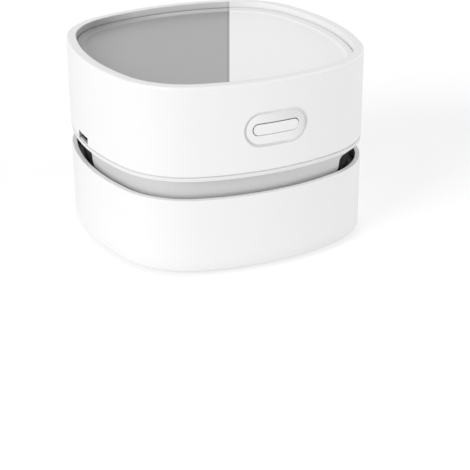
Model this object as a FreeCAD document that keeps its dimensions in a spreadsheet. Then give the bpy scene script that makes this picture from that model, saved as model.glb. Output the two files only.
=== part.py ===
import FreeCAD, Part
import math
import os
import Sketcher

# Desktop mini vacuum cleaner, millimetres, +Z up.
# Origin: centre of the footprint, on the surface that the four foot pads rest on.
# The power button is on the -Y face and the charging port on the -X face.

DRIVING_SIZES = {
    # rounded-square plan: half the width across flats, bowed sides, corner arcs
    "half_width": 44.0,
    "side_radius": 78.4,
    "corner_radius": 26.1,
    # heights of the stack
    "foot_drop": 1.4,
    "box_height": 23.6,
    "gap_height": 6.0,
    "plate_thickness": 1.5,
    "upper_height": 27.7,
    # fits and clearances
    "nest_gap": 0.3,
    "seat_gap": 0.15,
    "slip_gap": 0.1,
    "shaft_gap": 0.05,
    # dust box
    "box_wall": 1.6,
    "box_floor": 2.0,
    "box_edge_round": 0.8,
    "rim_round": 0.3,
    "mouth_radius": 12.0,
    "chimney_wall": 1.6,
    "chimney_rise": 5.0,
    "brush_recess": 3.6,
    "brush_radius": 22.0,
    "brush_thickness": 1.8,
    "tuft_count": 24,
    "tuft_radius": 1.1,
    "tuft_circle": 15.2,
    "tuft_socket": 0.8,
    "tuft_clearance": 0.25,
    "foot_radius": 5.0,
    "foot_socket": 0.8,
    "foot_inset": 19.0,
    "rib_width": 1.6,
    "rib_reach": 3.6,
    "rib_place": 12.0,
    # screws
    "screw_radius": 1.0,
    "screw_head_radius": 1.9,
    "screw_head_height": 1.0,
    "boss_wall": 1.5,
    "brush_screw_circle": 19.4,
    "brush_screw_length": 4.0,
    "boss_rise": 2.4,
    # filter stack
    "spigot_depth": 4.7,
    "gasket_thickness": 0.65,
    "gasket_width": 3.0,
    "gasket_margin": 0.4,
    "frame_thickness": 2.5,
    "frame_width": 5.0,
    "frame_rib_height": 1.2,
    "frame_rib_width": 2.0,
    "mesh_thickness": 0.4,
    "mesh_overlap": 1.1,
    "pad_thickness": 1.1,
    # neck with its exhaust windows
    "neck_set_back": 0.5,
    "neck_wall": 1.1,
    "window_angle": 66.0,
    "window_from": 23.4,
    "window_to": 15.8,
    "window_sill": 1.1,
    "window_head": 2.0,
    "window_round": 1.8,
    "screen_thickness": 0.8,
    "screen_overlap": 1.8,
    # fan housing
    "deck_thickness": 1.4,
    "lip_width": 1.2,
    "lip_height": 1.0,
    "eye_radius": 11.0,
    "eye_lip_wall": 1.2,
    "eye_lip_height": 0.6,
    "guard_width": 1.2,
    "scroll_wall": 1.4,
    "scroll_offset": 7.8,
    "scroll_start_angle": -14.0,
    "scroll_end_angle": 125.0,
    "tongue_gap": 0.8,
    "post_inset": 8.0,
    "post_first_angle": 18.0,
    "post_second_angle": 34.0,
    # impeller
    "fan_inset": 21.5,
    "fan_gap": 1.0,
    "fan_disc": 1.2,
    "fan_hub_radius": 3.6,
    "blade_count": 9,
    "blade_thickness": 1.0,
    "blade_arc_share": 0.845,
    "blade_place_share": 0.565,
    "blade_start_angle": 94.0,
    "blade_end_angle": 165.0,
    # motor
    "shaft_radius": 1.0,
    "can_radius": 12.2,
    "can_height": 16.0,
    "bushing_radius": 3.0,
    "bushing_length": 1.2,
    "end_cap_radius": 11.7,
    "end_cap_height": 1.8,
    "terminal_place": 7.5,
    "terminal_height": 2.6,
    "terminal_width": 2.4,
    "terminal_thickness": 0.4,
    "damper_thickness": 1.1,
    "damper_height": 5.4,
    "collar_wall": 1.5,
    "collar_height": 6.0,
    "motor_screw_circle": 8.0,
    "motor_screw_length": 3.2,
    "motor_head_sink": 0.7,
    # battery
    "cell_radius": 7.0,
    "cell_length": 43.0,
    "cell_inset": 17.5,
    "cell_floor": 0.8,
    "cell_nub_radius": 2.7,
    "cell_nub_length": 0.8,
    "tab_thickness": 0.3,
    "tab_width": 5.0,
    "saddle_place": 16.0,
    "saddle_width": 2.0,
    "saddle_margin": 1.4,
    # charging board and port
    "port_place": 2.2,
    "port_width": 8.4,
    "port_height": 2.5,
    "socket_width": 7.5,
    "socket_height": 2.2,
    "socket_depth": 5.6,
    "socket_sheet": 0.3,
    "socket_sink": 1.0,
    "tongue_thickness": 0.6,
    "board_thickness": 1.2,
    "board_collar_gap": 1.8,
    "charge_board_width": 18.0,
    "board_margin": 2.4,
    # button and switch
    "button_rise": 12.9,
    "button_length": 15.0,
    "button_height": 3.4,
    "button_gap": 0.2,
    "button_sink": 0.45,
    "button_round": 0.3,
    "bezel_length": 19.2,
    "bezel_height": 9.3,
    "bezel_round": 0.25,
    "groove_width": 0.8,
    "groove_depth": 0.4,
    "seat_margin": 2.0,
    "button_boss_depth": 2.8,
    "flange_margin": 1.5,
    "flange_thickness": 1.0,
    "stem_radius": 2.2,
    "switch_width": 6.0,
    "switch_depth": 3.5,
    "plunger_radius": 1.7,
    "plunger_rise": 0.8,
    "plunger_length": 3.3,
    "switch_board_inset": 11.0,
    "switch_board_length": 32.0,
    "switch_board_height": 10.0,
    "switch_screw_place": 13.0,
    "switch_screw_length": 4.0,
    # upper shell and top panel
    "upper_wall": 2.2,
    "roof_thickness": 1.8,
    "top_round": 0.7,
    "seam_round": 0.2,
    "seam_gap": 0.3,
    "seam_depth": 0.5,
    "case_screw_inset": 3.5,
    "case_screw_angle": 45.0,
    "case_screw_length": 6.0,
    "rim_width": 3.15,
    "rim_inner_round": 0.3,
    "recess_depth": 4.0,
    "panel_thickness": 2.0,
    "panel_gap": 0.15,
    "panel_lip": 0.2,
    "panel_dish_depth": 0.6,
    "panel_slope_angle": 65.0,
}


class Size:
    """A length, angle or count: its value, and the sheet expression that gives it."""

    def __init__(self, value, text):
        self.value = value
        self.text = text

    def __add__(self, other):
        other = as_size(other)
        return Size(self.value + other.value, f"({self.text} + {other.text})")

    def __sub__(self, other):
        other = as_size(other)
        return Size(self.value - other.value, f"({self.text} - {other.text})")

    def __mul__(self, other):
        other = as_size(other)
        return Size(self.value * other.value, f"({self.text} * {other.text})")

    def __truediv__(self, other):
        other = as_size(other)
        return Size(self.value / other.value, f"({self.text} / {other.text})")

    def __neg__(self):
        return Size(-self.value, f"(0 - {self.text})")


class SizeSheet:
    """Gives each driving dimension as a Size bound to its cell."""

    def __getattr__(self, alias):
        return Size(DRIVING_SIZES[alias], f"sizes.{alias}")


def as_size(value):
    """Lets plain numbers stand beside sizes in a formula."""
    return value if isinstance(value, Size) else Size(value, f"({value})")


def cosine(angle):
    """Cosine of an angle in degrees."""
    return Size(math.cos(math.radians(angle.value)), f"cos({angle.text})")


def sine(angle):
    """Sine of an angle in degrees."""
    return Size(math.sin(math.radians(angle.value)), f"sin({angle.text})")


document = FreeCAD.newDocument("desk_vacuum")
sheet = document.addObject("Spreadsheet::Sheet", "sizes")
for row, (alias, number) in enumerate(DRIVING_SIZES.items(), start=1):
    sheet.set(f"A{row}", alias)
    sheet.set(f"B{row}", str(number))
    sheet.setAlias(f"B{row}", alias)
document.recompute()
size = SizeSheet()

# levels of the stack, from the table up
box_bottom = size.foot_drop
floor_top = box_bottom + size.box_floor
box_top = box_bottom + size.box_height
plate_bottom = box_top + size.gap_height
plate_top = plate_bottom + size.plate_thickness
upper_top = plate_top + size.upper_height
brush_ceiling = box_bottom + size.brush_recess
brush_bottom = brush_ceiling - size.brush_thickness
dome_top = brush_ceiling + size.box_floor
chimney_top = dome_top + size.chimney_rise
deck_bottom = box_top - size.spigot_depth
deck_top = deck_bottom + size.deck_thickness
gasket_bottom = deck_bottom - size.seat_gap - size.gasket_thickness
frame_bottom = gasket_bottom - size.frame_thickness
fan_bottom = deck_top + size.fan_gap
fan_top = plate_bottom - size.fan_gap
panel_bottom = upper_top - size.recess_depth
roof_bottom = panel_bottom - size.roof_thickness
board_bottom = plate_top + size.slip_gap + size.socket_height
cell_level = plate_top + size.cell_floor + size.cell_radius
button_level = plate_top + size.button_rise

# places that follow the width of the plan
foot_place = size.half_width - size.foot_inset
post_circle = size.half_width - size.post_inset
case_screw_circle = size.half_width - size.case_screw_inset
fan_radius = size.half_width - size.fan_inset
cell_place = size.half_width - size.cell_inset
switch_board_place = size.half_width - size.switch_board_inset
collar_bore = size.can_radius + size.damper_thickness + size.slip_gap * 2
collar_radius = collar_bore + size.collar_wall
board_start = -size.half_width + size.upper_wall + size.board_margin / 2
charge_board_length = -board_start - collar_radius - size.board_collar_gap

# insets of the walls from the outer plan
nest_inset = size.box_wall + size.nest_gap
neck_outer_inset = nest_inset + size.neck_set_back
neck_inner_inset = neck_outer_inset + size.neck_wall
screen_inset = neck_inner_inset + size.slip_gap
hole_radius = size.screw_radius + size.shaft_gap
head_bore_radius = size.screw_head_radius + size.slip_gap
boss_radius = size.screw_radius + size.boss_wall

SIDES = 4
zero = as_size(0.0)
nodes = []


# ---------------------------------------------------------------- sketch shapes

def constrain(sketch, kind, *references, to):
    """Adds a dimension and binds it to its sheet expression."""
    number = sketch.addConstraint(Sketcher.Constraint(kind, *references, to.value))
    sketch.setExpression(f"Constraints[{number}]", to.text)


def fix_point(sketch, shape, point, x, y):
    """Fixes a point of a sketch shape at its distances from the sketch origin."""
    constrain(sketch, "DistanceX", -1, 1, shape, point, to=x)
    constrain(sketch, "DistanceY", -1, 1, shape, point, to=y)


def add_arc(sketch, x, y, radius, start, end):
    """Adds an arc from plain numbers, angles in degrees, and returns its index."""
    circle = Part.Circle(FreeCAD.Vector(x, y, 0), FreeCAD.Vector(0, 0, 1), radius)
    arc = Part.ArcOfCircle(circle, math.radians(start), math.radians(end))
    return sketch.addGeometry(arc)


def join_tangent(sketch, shapes):
    """Closes a chain of shapes, each end tangent to the next one's start."""
    for shape, following in zip(shapes, shapes[1:] + shapes[:1]):
        sketch.addConstraint(Sketcher.Constraint("Tangent", shape, 2, following, 1))


def draw_outline(sketch, inset):
    """Rounded-square plan, moved inwards by an inset: four bowed sides, four corners."""
    side = size.side_radius - inset
    corner = size.corner_radius - inset
    centre = size.half_width - size.side_radius
    spread = side.value - corner.value
    diagonal = math.sqrt(8 * spread ** 2 - 4 * centre.value ** 2)
    corner_centre = (2 * centre.value + diagonal) / 4
    tangent = math.degrees(math.atan2(corner_centre, corner_centre - centre.value))
    shapes = []
    axes = ((centre, zero), (zero, centre), (-centre, zero), (zero, -centre))
    for quarter, (x, y) in enumerate(axes):
        turn = 90 * quarter
        diagonal_angle = math.radians(turn + 45)
        corner_x = corner_centre * math.sqrt(2) * math.cos(diagonal_angle)
        corner_y = corner_centre * math.sqrt(2) * math.sin(diagonal_angle)
        side_arc = add_arc(sketch, x.value, y.value, side.value, turn - tangent, turn + tangent)
        corner_arc = add_arc(sketch, corner_x, corner_y, corner.value,
                             turn + tangent, turn + 90 - tangent)
        shapes += [side_arc, corner_arc]
        fix_point(sketch, side_arc, 3, x, y)
        constrain(sketch, "Radius", side_arc, to=side)
        constrain(sketch, "Radius", corner_arc, to=corner)
    join_tangent(sketch, shapes)


def draw_circle(sketch, x, y, radius):
    """A circle about a point."""
    centre = FreeCAD.Vector(x.value, y.value, 0)
    circle = sketch.addGeometry(Part.Circle(centre, FreeCAD.Vector(0, 0, 1), radius.value))
    fix_point(sketch, circle, 3, x, y)
    constrain(sketch, "Radius", circle, to=radius)


def draw_rectangle(sketch, left, bottom, right, top):
    """A rectangle given by two opposite corners."""
    corners = [(left, bottom), (right, bottom), (right, top), (left, top)]
    points = [FreeCAD.Vector(x.value, y.value, 0) for x, y in corners]
    lines = [sketch.addGeometry(Part.LineSegment(start, end))
             for start, end in zip(points, points[1:] + points[:1])]
    for line, following in zip(lines, lines[1:] + lines[:1]):
        sketch.addConstraint(Sketcher.Constraint("Coincident", line, 2, following, 1))
    for line, direction in zip(lines, ("Horizontal", "Vertical") * 2):
        sketch.addConstraint(Sketcher.Constraint(direction, line))
    fix_point(sketch, lines[0], 1, left, bottom)
    fix_point(sketch, lines[2], 1, right, top)


def draw_rounded_rectangle(sketch, left, bottom, right, top, radius):
    """A rectangle with its four corners rounded; a pill when the radius is half its height."""
    low = bottom + radius
    high = top - radius
    near = left + radius
    far = right - radius
    shapes = []
    corners = ((far, low, -90), (far, high, 0), (near, high, 90), (near, low, 180))
    sides = (((far, top), (near, top)), ((left, high), (left, low)),
             ((near, bottom), (far, bottom)), ((right, low), (right, high)))
    for number, (x, y, start) in enumerate(corners):
        arc = add_arc(sketch, x.value, y.value, radius.value, start, start + 90)
        fix_point(sketch, arc, 3, x, y)
        constrain(sketch, "Radius", arc, to=radius)
        shapes.append(arc)
        begin, end = sides[(number - 1) % SIDES]
        if abs(begin[0].value - end[0].value) + abs(begin[1].value - end[1].value) > 1e-6:
            line = Part.LineSegment(FreeCAD.Vector(begin[0].value, begin[1].value, 0),
                                    FreeCAD.Vector(end[0].value, end[1].value, 0))
            shapes.append(sketch.addGeometry(line))
    join_tangent(sketch, shapes)


def draw_pill(sketch, x, y, length, height):
    """A stadium about a point: two straight sides and two round ends."""
    radius = height / 2
    reach = (length - height) / 2
    right_arc = add_arc(sketch, (x + reach).value, y.value, radius.value, -90, 90)
    top_line = sketch.addGeometry(Part.LineSegment(
        FreeCAD.Vector((x + reach).value, (y + radius).value, 0),
        FreeCAD.Vector((x - reach).value, (y + radius).value, 0)))
    left_arc = add_arc(sketch, (x - reach).value, y.value, radius.value, 90, 270)
    bottom_line = sketch.addGeometry(Part.LineSegment(
        FreeCAD.Vector((x - reach).value, (y - radius).value, 0),
        FreeCAD.Vector((x + reach).value, (y - radius).value, 0)))
    join_tangent(sketch, [right_arc, top_line, left_arc, bottom_line])
    fix_point(sketch, right_arc, 3, x + reach, y)
    fix_point(sketch, left_arc, 3, x - reach, y)
    constrain(sketch, "Radius", right_arc, to=radius)
    constrain(sketch, "Radius", left_arc, to=radius)


def draw_curved_slot(sketch, x, y, radius, width, start, end):
    """A strip of even width along an arc, with round ends: a scroll wall or a blade."""
    half = width / 2
    outer = add_arc(sketch, x.value, y.value, (radius + half).value, start.value, end.value)
    inner = add_arc(sketch, x.value, y.value, (radius - half).value, start.value, end.value)
    caps = []
    for angle, turn in ((end, 0), (start, 180)):
        cap_x = x + radius * cosine(angle)
        cap_y = y + radius * sine(angle)
        cap = add_arc(sketch, cap_x.value, cap_y.value, half.value,
                      angle.value + turn, angle.value + turn + 180)
        caps.append((cap, cap_x, cap_y, angle))
    sketch.addConstraint(Sketcher.Constraint("Tangent", outer, 2, caps[0][0], 1))
    sketch.addConstraint(Sketcher.Constraint("Tangent", caps[0][0], 2, inner, 2))
    sketch.addConstraint(Sketcher.Constraint("Tangent", inner, 1, caps[1][0], 1))
    sketch.addConstraint(Sketcher.Constraint("Tangent", caps[1][0], 2, outer, 1))
    fix_point(sketch, outer, 3, x, y)
    sketch.addConstraint(Sketcher.Constraint("Coincident", outer, 3, inner, 3))
    constrain(sketch, "Radius", outer, to=radius + half)
    constrain(sketch, "Radius", inner, to=radius - half)
    for cap, cap_x, cap_y, angle in caps:
        steep = abs(math.sin(math.radians(angle.value))) > abs(math.cos(math.radians(angle.value)))
        if steep:
            constrain(sketch, "DistanceX", -1, 1, cap, 3, to=cap_x)
        else:
            constrain(sketch, "DistanceY", -1, 1, cap, 3, to=cap_y)


# ---------------------------------------------------------------- PartDesign bodies

class Moulding:
    """A PartDesign body, built feature by feature on its own origin planes."""

    def __init__(self, label):
        self.body = document.addObject("PartDesign::Body", label)
        self.body.Label = label
        self.count = 0

    def plane(self, role):
        """The body's own origin plane or axis with this role."""
        return [part for part in self.body.Origin.OriginFeatures if part.Role == role][0]

    def volume(self):
        """Volume of the body so far."""
        document.recompute()
        tip = self.body.Tip
        return tip.Shape.Volume if tip else 0.0

    def add(self, kind, name):
        """A new feature with a name of its own in this body."""
        self.count += 1
        return self.body.newObject(kind, f"{self.body.Name}_{name}_{self.count}")

    def sketch(self, role, offset, turn=None):
        """A sketch on an origin plane, moved along its normal, or turned about its own Y."""
        sketch = self.add("Sketcher::SketchObject", "sketch")
        sketch.AttachmentSupport = [(self.plane(role), "")]
        sketch.MapMode = "FlatFace"
        if turn is not None:
            rotation = FreeCAD.Rotation(FreeCAD.Vector(0, 1, 0), turn.value)
            sketch.AttachmentOffset = FreeCAD.Placement(FreeCAD.Vector(), rotation)
            sketch.setExpression("AttachmentOffset.Rotation.Angle", turn.text)
        sketch.setExpression("AttachmentOffset.Base.z", offset.text)
        return sketch

    def extrude(self, kind, sketch, length, backwards):
        """A pad or pocket of a sketch, checked to add or remove material."""
        before = self.volume()
        feature = self.add(f"PartDesign::{kind}", kind.lower())
        feature.Profile = sketch
        feature.Reversed = backwards
        feature.setExpression("Length", length.text)
        change = self.volume() - before
        expected = 1 if kind == "Pad" else -1
        if change * expected <= 0:
            raise ValueError(f"{feature.Name} leaves the volume unchanged")
        return feature

    def pad(self, sketch, length, backwards=False):
        """Adds the sketch's area, along its normal or backwards."""
        return self.extrude("Pad", sketch, length, backwards)

    def pocket(self, sketch, length, backwards=False):
        """Removes the sketch's area, against its normal or, backwards, along it."""
        return self.extrude("Pocket", sketch, length, backwards)

    def pad_outline(self, inset, bottom, height):
        """A slab with the rounded-square plan."""
        sketch = self.sketch("XY_Plane", bottom)
        draw_outline(sketch, inset)
        return self.pad(sketch, height)

    def pocket_outline(self, inset, top, depth):
        """A pocket with the rounded-square plan, cut downwards."""
        sketch = self.sketch("XY_Plane", top)
        draw_outline(sketch, inset)
        return self.pocket(sketch, depth)

    def pad_ring_outline(self, inset, width, bottom, height):
        """A wall of even thickness that follows the rounded-square plan."""
        sketch = self.sketch("XY_Plane", bottom)
        draw_outline(sketch, inset)
        draw_outline(sketch, inset + width)
        return self.pad(sketch, height)

    def pad_circles(self, places, radius, bottom, height):
        """Upright round bosses at these places."""
        sketch = self.sketch("XY_Plane", bottom)
        for x, y in places:
            draw_circle(sketch, x, y, radius)
        return self.pad(sketch, height)

    def pocket_circles(self, places, radius, top, depth):
        """Upright round holes at these places, cut downwards."""
        sketch = self.sketch("XY_Plane", top)
        for x, y in places:
            draw_circle(sketch, x, y, radius)
        return self.pocket(sketch, depth)

    def pocket_screws(self, places, top, depth, seat, sink):
        """Clearance holes for screws, with a counterbore below the seat of each head."""
        self.pocket_circles(places, hole_radius, top, depth)
        self.pocket_circles(places, head_bore_radius, seat, sink)

    def pattern(self, features, count, axis="Z_Axis"):
        """Repeats features round an axis."""
        document.recompute()
        pattern = self.add("PartDesign::PolarPattern", "pattern")
        pattern.Originals = features
        pattern.Axis = (self.plane(axis), [""])
        pattern.Angle = 360
        pattern.Occurrences = int(count.value)
        pattern.setExpression("Occurrences", count.text)
        self.body.Tip = pattern
        document.recompute()
        return pattern

    def subtract(self, tool):
        """Takes another body away from this one."""
        feature = self.add("PartDesign::Boolean", "boolean")
        feature.Type = "Cut"
        feature.addObjects([tool.body])
        document.recompute()

    def round_edges(self, test, radius):
        """A fillet on every edge that passes a test."""
        document.recompute()
        base = self.body.Tip
        edges = [f"Edge{number}" for number, edge in enumerate(base.Shape.Edges, start=1)
                 if test(edge)]
        feature = self.add("PartDesign::Fillet", "fillet")
        feature.Base = (base, edges)
        feature.setExpression("Radius", radius.text)
        document.recompute()
        return feature

    def fillet_outline(self, level, inset, radius):
        """Rounds the edge of the rounded-square plan at a level."""
        reach = size.half_width - inset
        return self.round_edges(lambda edge: on_outline(edge, level.value, reach.value), radius)


def on_outline(edge, level, reach):
    """True for an edge of the rounded-square plan with this reach, at this level."""
    box = edge.BoundBox
    flat = abs(box.ZMin - level) < 1e-4 and abs(box.ZMax - level) < 1e-4
    if not flat:
        return False
    middle = edge.valueAt((edge.FirstParameter + edge.LastParameter) / 2)
    on_side = abs(max(abs(middle.x), abs(middle.y)) - reach) < 1e-3
    on_diagonal = abs(abs(middle.x) - abs(middle.y)) < 1e-3
    ends = [vertex.Point for vertex in edge.Vertexes]
    side_end = size.side_radius.value - (size.half_width.value - reach)
    centre = size.half_width.value - size.side_radius.value
    touches = [abs(math.hypot(max(abs(p.x), abs(p.y)) - centre, min(abs(p.x), abs(p.y))) - side_end)
               < 1e-3 for p in ends]
    return on_side or (on_diagonal and bool(touches) and all(touches))


# ---------------------------------------------------------------- Part primitives

AXES = {
    "x": FreeCAD.Rotation(FreeCAD.Vector(0, 1, 0), 90),
    "y": FreeCAD.Rotation(FreeCAD.Vector(1, 0, 0), -90),
    "z": FreeCAD.Rotation(),
    "turn": FreeCAD.Rotation(FreeCAD.Vector(0, 0, 1), 1),
}


def place(item, x, y, z):
    """Binds an object's position to the sheet."""
    for axis, distance in (("x", x), ("y", y), ("z", z)):
        item.setExpression(f"Placement.Base.{axis}", as_size(distance).text)


def add_cylinder(name, radius, height, x, y, z, axis="z"):
    """A cylinder that grows along an axis from its start point."""
    item = document.addObject("Part::Cylinder", name)
    item.Placement = FreeCAD.Placement(FreeCAD.Vector(), AXES[axis])
    item.setExpression("Radius", radius.text)
    item.setExpression("Height", height.text)
    place(item, x, y, z)
    return item


def add_box(name, x, y, z, length, width, height):
    """A box that grows along +X, +Y and +Z from its corner."""
    item = document.addObject("Part::Box", name)
    item.setExpression("Length", length.text)
    item.setExpression("Width", width.text)
    item.setExpression("Height", height.text)
    place(item, x, y, z)
    return item


def cut_from(name, base, tools):
    """The base with the tools taken away."""
    for number, tool in enumerate(tools, start=1):
        result = document.addObject("Part::Cut", f"{name}_cut_{number}")
        result.Base = base
        result.Tool = tool
        base = result
    return base


def fuse(name, items):
    """The items joined into one solid."""
    result = document.addObject("Part::MultiFuse", f"{name}_fuse")
    result.Shapes = items
    return result


def keep(item, label):
    """Marks an object as a finished sub-part with this label."""
    item.Label = label
    nodes.append(item)


def keep_group(items, label):
    """Marks several alike solids as one sub-part."""
    group = document.addObject("Part::Compound", f"{label}_group")
    group.Links = items
    keep(group, label)


def add_screw(name, x, y, z, length, axis="z", up=1):
    """A pan-head screw whose head seats at a point; up is the way its shank runs."""
    head_start = -size.screw_head_height if up > 0 else zero
    shank_start = zero if up > 0 else -length
    items = []
    for part, radius, start, reach in (("head", size.screw_head_radius, head_start, size.screw_head_height),
                                       ("shank", size.screw_radius, shank_start, length)):
        at = {"x": x, "y": y, "z": z}
        at[axis] = at[axis] + start
        items.append(add_cylinder(f"{name}_{part}", radius, reach, at["x"], at["y"], at["z"], axis))
    return fuse(name, items)


def keep_screws(label, places, seat, length, axis="z", up=1):
    """A set of alike screws, kept as one sub-part."""
    screws = []
    for number, (x, y) in enumerate(places):
        screws.append(add_screw(f"{label}_{number}", x, y, seat, length, axis, up))
    keep_group(screws, label)


def around(radius, angle):
    """The point at a radius and an angle in degrees about the upright axis."""
    return radius * cosine(angle), radius * sine(angle)


def quarter_places(radius, first):
    """Four places a quarter turn apart, from a first angle in degrees."""
    return [around(radius, first + 360 / SIDES * number) for number in range(SIDES)]


# ---------------------------------------------------------------- dust box

def make_lower_shell():
    """Dust box: tub with a suction chimney, brush recess, foot sockets and filter ribs."""
    part = Moulding("lower_shell")
    part.pad_outline(zero, box_bottom, size.box_height)
    part.fillet_outline(box_bottom, zero, size.box_edge_round)
    part.pocket_outline(size.box_wall, box_top, size.box_height - size.box_floor)
    part.fillet_outline(box_top, zero, size.rim_round)
    recess_radius = size.brush_radius + size.slip_gap
    middle = [(zero, zero)]
    screws = quarter_places(size.brush_screw_circle, zero)
    part.pad_circles(middle, recess_radius + size.box_floor, floor_top, dome_top - floor_top)
    part.pad_circles(middle, size.mouth_radius + size.chimney_wall, dome_top, size.chimney_rise)
    part.pad_circles(screws, boss_radius, dome_top, size.boss_rise)
    part.pocket_circles(middle, recess_radius, brush_ceiling, size.brush_recess)
    part.pocket_circles(middle, size.mouth_radius, chimney_top, chimney_top - brush_ceiling)
    part.pocket_circles(screws, hole_radius, brush_ceiling + size.brush_screw_length,
                        size.brush_screw_length)
    part.pocket_circles(foot_places(), size.foot_radius + size.shaft_gap,
                        box_bottom + size.foot_socket, size.foot_socket)
    ribs = part.sketch("XY_Plane", floor_top)
    inner = size.half_width - size.box_wall - size.rib_reach
    outer = size.half_width - size.box_wall
    for side in (-1, 1):
        place_x = size.rib_place * side
        draw_rectangle(ribs, place_x - size.rib_width / 2, inner, place_x + size.rib_width / 2, outer)
    part.pattern([part.pad(ribs, frame_bottom - floor_top)], as_size(SIDES))
    keep(part.body, "lower_shell")


def make_brush():
    """Brush ring in the recess under the dust box, its bristle tufts and its screws."""
    ring = Moulding("brush_ring")
    plan = ring.sketch("XY_Plane", brush_bottom)
    draw_circle(plan, zero, zero, size.brush_radius)
    draw_circle(plan, zero, zero, size.mouth_radius + size.slip_gap)
    ring.pad(plan, size.brush_thickness)
    ring.round_edges(lambda edge: is_ring(edge, brush_bottom, size.brush_radius), size.rim_round)
    socket = ring.pocket_circles([(size.tuft_circle, zero)], size.tuft_radius,
                                 brush_bottom + size.tuft_socket, size.tuft_socket)
    ring.pattern([socket], size.tuft_count)
    ring.pocket_screws(quarter_places(size.brush_screw_circle, zero), brush_ceiling,
                       size.brush_thickness, brush_bottom + size.screw_head_height,
                       size.screw_head_height)
    keep(ring.body, "brush_ring")
    tuft_height = brush_bottom + size.tuft_socket - size.tuft_clearance
    tufts = []
    for number in range(int(size.tuft_count.value)):
        x, y = around(size.tuft_circle, as_size(number) * 360 / size.tuft_count)
        radius = size.tuft_radius - size.shaft_gap
        tufts.append(add_cylinder(f"tuft_{number}", radius, tuft_height, x, y, size.tuft_clearance))
    keep_group(tufts, "bristle_tufts")
    seat = brush_bottom + size.screw_head_height
    length = size.brush_thickness - size.screw_head_height + size.brush_screw_length - size.slip_gap
    keep_screws("brush_screws", quarter_places(size.brush_screw_circle, zero), seat, length)


def make_feet():
    """Four round pads in the corners, which lift the mouth clear of the table."""
    height = box_bottom + size.foot_socket
    feet = [add_cylinder(f"foot_{number}", size.foot_radius, height, x, y, as_size(0))
            for number, (x, y) in enumerate(foot_places())]
    keep_group(feet, "feet")


def foot_places():
    """Centres of the four foot pads."""
    return [(foot_place * side_x, foot_place * side_y)
            for side_x in (-1, 1) for side_y in (-1, 1)]


def is_ring(edge, level, radius):
    """True for a full circle about the upright axis at a level."""
    curve = edge.Curve
    if not isinstance(curve, Part.Circle):
        return False
    centred = math.hypot(curve.Center.x, curve.Center.y) < 1e-4
    return centred and abs(curve.Center.z - level.value) < 1e-4 and abs(curve.Radius - radius.value) < 1e-4


# ---------------------------------------------------------------- filter

def make_filter():
    """Filter cassette: frame with cross ribs, dust-side mesh, fibre pad and seal ring."""
    frame = Moulding("filter_frame")
    frame.pad_ring_outline(nest_inset, size.frame_width, frame_bottom, size.frame_thickness)
    bar = frame.sketch("XY_Plane", frame_bottom)
    reach = size.half_width - nest_inset - size.frame_width / 2
    draw_rectangle(bar, -size.frame_rib_width / 2, -reach, size.frame_rib_width / 2, reach)
    frame.pattern([frame.pad(bar, size.frame_rib_height)], as_size(SIDES))
    keep(frame.body, "filter_frame")
    opening_inset = nest_inset + size.frame_width
    mesh = Moulding("filter_mesh")
    mesh.pad_outline(opening_inset - size.mesh_overlap, frame_bottom - size.mesh_thickness,
                     size.mesh_thickness)
    keep(mesh.body, "filter_mesh")
    pad = Moulding("filter_pad")
    pad.pad_outline(opening_inset + size.slip_gap, frame_bottom + size.frame_rib_height,
                    size.pad_thickness)
    keep(pad.body, "filter_pad")
    gasket = Moulding("filter_gasket")
    gasket.pad_ring_outline(nest_inset + size.gasket_margin, size.gasket_width, gasket_bottom,
                            size.gasket_thickness)
    keep(gasket.body, "filter_gasket")


# ---------------------------------------------------------------- neck and fan housing

def make_neck_ring():
    """Neck between the two shells, with an exhaust window round two opposite corners."""
    ring = Moulding("neck_ring")
    ring.pad_ring_outline(neck_outer_inset, size.neck_wall, deck_top, plate_bottom - deck_top)
    window = ring.sketch("XZ_Plane", zero, turn=size.window_angle)
    draw_rounded_rectangle(window, -size.window_from, deck_top + size.window_sill, size.window_to,
                           plate_bottom - size.window_head, size.window_round)
    opening = ring.pocket(window, size.half_width * 1.5, backwards=True)
    ring.pattern([opening], as_size(2))
    keep(ring.body, "neck_ring")


def make_exhaust_screens():
    """Dark mesh sheets that stand behind the two exhaust windows."""
    band = Moulding("screen_band")
    bottom = deck_top + size.lip_height
    band.pad_ring_outline(screen_inset, size.screen_thickness, bottom, plate_bottom - bottom)
    length = size.window_from + size.window_to + size.screen_overlap * 2
    for number in range(2):
        facing = size.window_angle + 180 * number
        x, y = around(size.window_to + size.screen_overlap, facing)
        block = add_box(f"screen_block_{number}", x, y, bottom, length, size.half_width * 1.5,
                        plate_bottom - bottom)
        block.Placement = FreeCAD.Placement(FreeCAD.Vector(), AXES["turn"])
        block.setExpression("Placement.Rotation.Angle", (facing + 180).text)
        place(block, x, y, bottom)
        screen = document.addObject("Part::Common", f"screen_{number}")
        screen.Base = band.body
        screen.Tool = block
    keep_group([document.getObject(f"screen_{number}") for number in range(2)], "exhaust_screens")


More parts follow.
